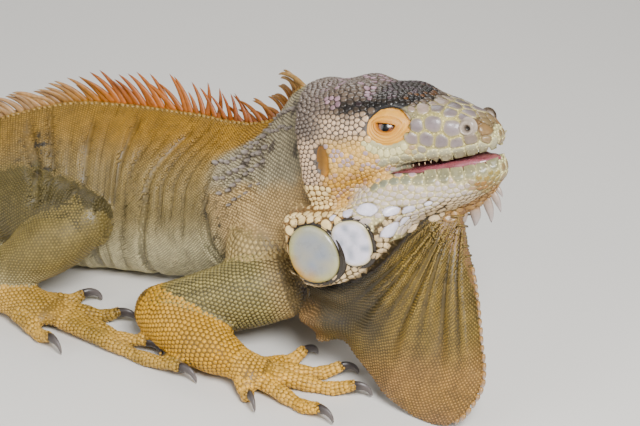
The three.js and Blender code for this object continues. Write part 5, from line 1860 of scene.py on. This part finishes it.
def membrane(share, angle, x, z):
    # a thin drumskin, darker behind, with a warm painted highlight in front and painted shade at its sunk
    # edge
    c = blend("drum", "drumHighlight", rise(np.cos(angle) * share, -0.4, 0.6))
    return blend(c, "creaseShade", 0.85 * rise(share, 0.82, 0.98))


discs = {
    "shield_ear": {
        **shields["ear"], "egg": -0.06, "collar": 2.3, "lift": 0.6, "dome": 2.4, "roll": 1.2, "colour": pearl,
    },
    "shield_cheek": {
        **shields["cheek"], "egg": 0.08, "collar": 1.7, "lift": 0.2, "dome": 1.0, "roll": 0.7,
        "colour": lavender,
    },
    "eardrum": {
        "at": (0.6, -1), "long": 4.4, "tall": 8.8, "turn": -6, "square": 2.1, "lift": -0.4, "dome": 0.3,
        "roll": 0.3,
        "colour": membrane,
    },
}


def makeNostril(side, name):
    # a low ring with a slit-like hole that opens back and down, darkened inside with painted shade
    columns = 40
    angle = 2 * np.pi * np.arange(columns) / columns
    share = np.array([1.15, 1.0, 0.9, 0.78, 0.64, 0.52, 0.42, 0.3, 0.18])[:, None]
    lift = np.array([-1.2, 0.1, 0.8, 1.15, 1.1, 0.6, -0.3, -1.6, -2.4])[:, None]
    shade = np.array([0.0, 0.1, 0.25, 0.12, 0.05, 0.1, 0.25, 0.75, 1.0])[:, None]
    x = 78 + 4.3 * share * np.cos(angle) - 0.9 * (1 - share)
    z = 8.8 + 4.3 * share * np.sin(angle) - 1.2 * (1 - share)
    y = side * (outerAt(x, z, slice(0, 2), side) + lift)
    colour = blend("nostril", "seam", shade + 0 * x)
    addPiece(f"nostril_{name}", *capped(np.stack([x, y, z], -1), colour, hue["seam"]), "face", side)


for side, name in ((-1, "right"), (1, "left")):
    makeNostril(side, name)
    made = {
        "eye": makeEye(side, name),
        "ear": makeDisc(f"eardrum_{name}", side, discs["eardrum"], "eardrum"),
        "ear_plate": makeDisc(f"shield_ear_{name}", side, discs["shield_ear"], "ear_plate"),
    }
    makeLids(side, name)
    makeDisc(f"shield_cheek_{name}", side, discs["shield_cheek"], "ear_plate")
    for kind, piece in made.items():
        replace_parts(piece, f"{kind}_{name}")

mouth = {"from": 36, "to": 88, "columns": 48, "rows": 60}


def makeTongue():
    # a pad between the lower lips: a raised gum along each side, a low tongue with a groove between
    t = np.linspace(0, 1, mouth["rows"])[:, None]
    x = mix(mouth["from"], mouth["to"], t)
    half = np.interp(x, [36, 40, 56, 69, 80, 85, 88], [25, 24.2, 18.8, 14.0, 9.2, 6.0, 4.0])
    floor = np.interp(x, [36, 40, 56, 69, 80, 87], [-11, -11, -13, -13.6, -12.9, -11.6])
    angle = 2 * np.pi * np.arange(mouth["columns"])[None] / mouth["columns"]
    c, s = np.cos(angle), np.sin(angle)
    gap = np.interp(x, [36, 44, 56, 66, 76, 85, 88], [0.3, 1.3, 3.2, 4.6, 4.6, 2.4, 1.0])
    gum = bell(np.abs(c), 0.86, 0.16)
    tongue = bell(c, 0, 0.5) * (1 - 0.25 * bell(c, 0, 0.08))
    spots = np.stack([x + 0 * c, 20 * c + 0 * x, 0 * x * c], -1)
    lump = scatter(spots.reshape(-1, 3), 4, 63).reshape((x * c).shape)
    high = (0.5 * gum + 0.7 * tongue + 0.62 + 0.05 * lump) * gap
    z = floor + np.where(s > 0, np.abs(s) ** 0.35 * high, s * 2.0)
    end = np.minimum(1, np.sqrt(np.clip((1 - t) * 9, 0, 1)) + 0.02)
    points = np.stack([x + 0 * c, half * c * end, z + 0 * c], -1)
    tint = blend("gum", "tongue", tongue + 0 * x)
    tint = blend(tint, "gumDarkAndShade", np.clip(0.3 + 0.5 * lump, 0, 0.6))
    # darker towards the back: painted shade deep in the mouth
    tint = blend(tint, "gumDarkAndShade", rise(-x, -52, -38) + 0 * c)
    shape, faces = tube(fromHead(points))
    colour = np.concatenate([tint.reshape(-1, 3), tint[0].mean(0)[None], tint[-1].mean(0)[None]])
    return addPiece("mouth_lining", shape, faces, colour, "mouth")


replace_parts(makeTongue(), "tongue")
print("face pieces done")

# the skin's colour: what lies between the scales, as dark as their rims, the darker skin with painted shade
# in the gaps

_, skinHide = nearestRoots()
local = toHead(skinPoints)
off, x, z = offPlaces(local), local[:, 0], local[:, 2]
inside = off & (x > 35) & (z < -2) & (np.abs(local[:, 1]) < 28)
for name, dim, place in (
    # painted shade inside the mouth, the lips' inner faces dimmed the same way
    ("gumDarkAndShade", 1.0, inside),
    ("lipLower", 0.8, inside & (z < np.interp(x, lipAt, lipFloor) + 0.3)),
    ("lipUpper", 0.7, inside & (z > np.interp(x, lipAt, lipRoof) - 0.3)),
    ("flapPink", 0.5, underChin(local)),
    # painted shade in the recesses under the great shields and along the throat fold
    ("seam", 1.0, off & (z < -24)),
):
    skinHide = mix(skinHide, hue[name] * dim, place * 1.0)
paint(skin, skinHide)
print("skin colour done")

# materials


def addNode(tree, kind, settings=None, **links):
    # one node of a kind, its sockets set to plain values or linked from (node, output)
    node = tree.nodes.new(kind)
    for key, value in (settings or {}).items():
        if key in node.inputs:
            node.inputs[key].default_value = value
        else:
            setattr(node, key, value)
    for key, (other, output) in links.items():
        tree.links.new(other.outputs[output], node.inputs[key.replace("_", " ")])
    return node


def surface(name, look):
    # the painted colour, mottled a little, over a fine grain; the look's numbers make it dry, worn or wet
    material = bpy.data.materials.new(name)
    material.use_nodes = True
    tree = material.node_tree
    shader = tree.nodes["Principled BSDF"]
    where = addNode(tree, "ShaderNodeTexCoord")
    painted = addNode(tree, "ShaderNodeAttribute", {"attribute_name": "hide"})
    mottle = {"Scale": 1000 / look["mottle"], "Detail": 3.0}
    cloud = addNode(tree, "ShaderNodeTexNoise", mottle, Vector=(where, "Object"))

    def clouded(low, high):
        # the cloud's middle half spread from low to high
        ends = {"From Min": 0.3, "From Max": 0.7, "To Min": low, "To Max": high}
        return addNode(tree, "ShaderNodeMapRange", ends, Value=(cloud, "Fac"))

    level = clouded(1 - look["vary"], 1 + look["vary"])
    parts = {"Vector": (painted, "Color"), "Scale": (level, "Result")}
    tinted = addNode(tree, "ShaderNodeVectorMath", {"operation": "SCALE"}, **parts)
    tree.links.new(tinted.outputs["Vector"], shader.inputs["Base Color"])
    kind, height = ("Voronoi", "Distance") if look.get("pebbled") else ("Noise", "Fac")
    grain = addNode(tree, f"ShaderNodeTex{kind}", {"Scale": 1000 / look["grain"]}, Vector=(where, "Object"))
    depth = {"Strength": look["bump"], "Distance": 0.0003}
    bump = addNode(tree, "ShaderNodeBump", depth, Height=(grain, height))
    tree.links.new(bump.outputs["Normal"], shader.inputs["Normal"])
    worn = clouded(look["rough"] - 0.07, look["rough"] + 0.07)
    tree.links.new(worn.outputs["Result"], shader.inputs["Roughness"])
    for socket, value in (
        ("IOR", look.get("ior", 1.5)), ("Coat Weight", look.get("wet", 0.0)), ("Coat Roughness", 0.08),
        ("Subsurface Weight", look.get("flesh", 0.0)), ("Subsurface Radius", (0.004, 0.0018, 0.001)),
        ("Subsurface Scale", 1.0),
    ):
        shader.inputs[socket].default_value = value
    return material


looks = {  # mottle and grain in millimetres
    # dull and even, a broken shine only along the rows of scales
    "hide": ("Dry scaled hide", {"mottle": 7, "vary": 0.16, "grain": 0.5, "bump": 0.25, "rough": 0.5}),
    # a little smoother, as if rubbed
    "limb": (
        "Dry scaled hide of limbs", {"mottle": 7, "vary": 0.14, "grain": 0.5, "bump": 0.25, "rough": 0.47}
    ),
    # smooth plates that catch a small clear light each
    "face": (
        "Plated scales, half gloss",
        {"mottle": 3, "vary": 0.12, "grain": 0.6, "bump": 0.2, "rough": 0.34, "wet": 0.12},
    ),
    # dull, with a trace of light coming through
    "dewlap": (
        "Thin beaded hide",
        {"mottle": 6, "vary": 0.12, "grain": 0.5, "bump": 0.25, "rough": 0.5, "flesh": 0.08},
    ),
    # waxy blades, lighter where they are thin
    "crest": (
        "Soft horn of the crest",
        {"mottle": 2.5, "vary": 0.2, "grain": 0.8, "bump": 0.2, "rough": 0.42, "flesh": 0.15},
    ),
    # a glossy clouded plate with one soft reflection
    "ear_plate": (
        "Pearly scale", {"mottle": 6, "vary": 0.06, "grain": 3, "bump": 0.12, "rough": 0.3, "wet": 0.35}
    ),
    # a flat dull film
    "eardrum": ("Drumskin", {"mottle": 3, "vary": 0.1, "grain": 0.8, "bump": 0.15, "rough": 0.42}),
    # fine grained soft skin without shine
    "lids": (
        "Pebbled skin of the lids",
        {"mottle": 4, "vary": 0.08, "grain": 0.6, "bump": 0.35, "rough": 0.5, "pebbled": True, "flesh": 0.1},
    ),
    # dark and clear with one sharp light
    "eye": ("Wet eye", {"mottle": 1.5, "vary": 0.1, "grain": 1, "bump": 0.02, "rough": 0.22, "wet": 0.6}),
    # rosy and wet
    "mouth": (
        "Moist lining",
        {"mottle": 4, "vary": 0.12, "grain": 1.0, "bump": 0.3, "rough": 0.3, "wet": 0.5, "flesh": 0.15},
    ),
    # dark worn horn with a long soft shine
    "claw": ("Horn of claws", {"mottle": 3, "vary": 0.15, "grain": 0.7, "bump": 0.15, "rough": 0.36}),
}
finishes = {key: surface(name, look) for key, (name, look) in looks.items()}
recordSlots = {"crest": "hide", "lids": "face"}


def finishPiece(piece, look):
    # its finish, and the body it belongs to
    piece.data.materials.clear()
    piece.data.materials.append(finishes[look])
    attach(piece, "root")
    recordSlots.get(look, look)


for piece, look in coatPieces:
    finishPiece(piece, "lids" if piece.name.startswith("lids") else look)
finishPiece(skin, "hide")
skin.data.shade_smooth()
flesh = [name for name in nodes if not name.startswith(("claw", "eye", "ear", "tongue"))]
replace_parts(skin, *flesh)
for where in limbs:
    claws = next(piece for piece, _ in coatPieces if piece.name == f"claws_{where}")
    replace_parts(claws, *[f"claw_{number}_{where}" for number in range(1, 6)])

# floor, light and camera

room = {"floor": 8.0, "floorTone": "d9d6d0", "sky": 0.17}
corner = np.array([[-1, -1, 0], [1, -1, 0], [1, 1, 0], [-1, 1, 0]]) * room["floor"] * 500
floor = makeObject("floor", corner - [0, 0, 0.6], [np.array([[0, 1, 2, 3]])])
matte = bpy.data.materials.new("Pale matte floor")
matte.use_nodes = True
plain = matte.node_tree.nodes["Principled BSDF"].inputs
plain["Base Color"].default_value = (*hexColour(room["floorTone"]), 1)
plain["Roughness"].default_value = 0.8
floor.data.materials.append(matte)

sky = bpy.data.worlds.new("Soft room")
sky.use_nodes = True
sky.node_tree.nodes["Background"].inputs["Color"].default_value = (1, 1, 1, 1)
sky.node_tree.nodes["Background"].inputs["Strength"].default_value = room["sky"]
bpy.context.scene.world = sky

camera = {"target": (135, -60, 72), "azimuth": 12, "elevation": 26, "distance": 925, "lens": 90}
turn, lift = math.radians(camera["azimuth"]), math.radians(camera["elevation"])
backward = np.array([math.sin(turn) * math.cos(lift), -math.cos(turn) * math.cos(lift), math.sin(lift)])


def aim(thing, place, target):
    # the thing stands at place and looks at target, both in millimetres
    thing.location = Vector(np.asarray(place, float) / 1000)
    way = Vector(np.asarray(target, float) / 1000) - thing.location
    thing.rotation_euler = way.to_track_quat("-Z", "Y").to_euler()


lamps = {  # direction from the camera's target, distance and width in millimetres, watts
    "key": ((0.55, -1.0, 1.05), 1300, 500, 34),
    "fill": ((-0.9, -1.0, 0.6), 1500, 900, 8),
    "rim": ((-0.3, 1.0, 1.0), 1500, 900, 10),
}
for name, (way, distance, width, watts) in lamps.items():
    data = bpy.data.lights.new(name, "AREA")
    data.size, data.energy = width / 1000, watts
    aim(putIn(name, data), np.array(camera["target"]) + unit(np.array(way)) * distance, camera["target"])

cameraData = bpy.data.cameras.new("camera")
cameraData.lens, cameraData.sensor_width = camera["lens"], 36
cameraData.clip_start, cameraData.clip_end = 0.01, 50
eyePoint = putIn("camera", cameraData)
aim(eyePoint, np.array(camera["target"]) + backward * camera["distance"], camera["target"])
bpy.context.scene.camera = eyePoint

print("pieces:", len(coatPieces) + 1)
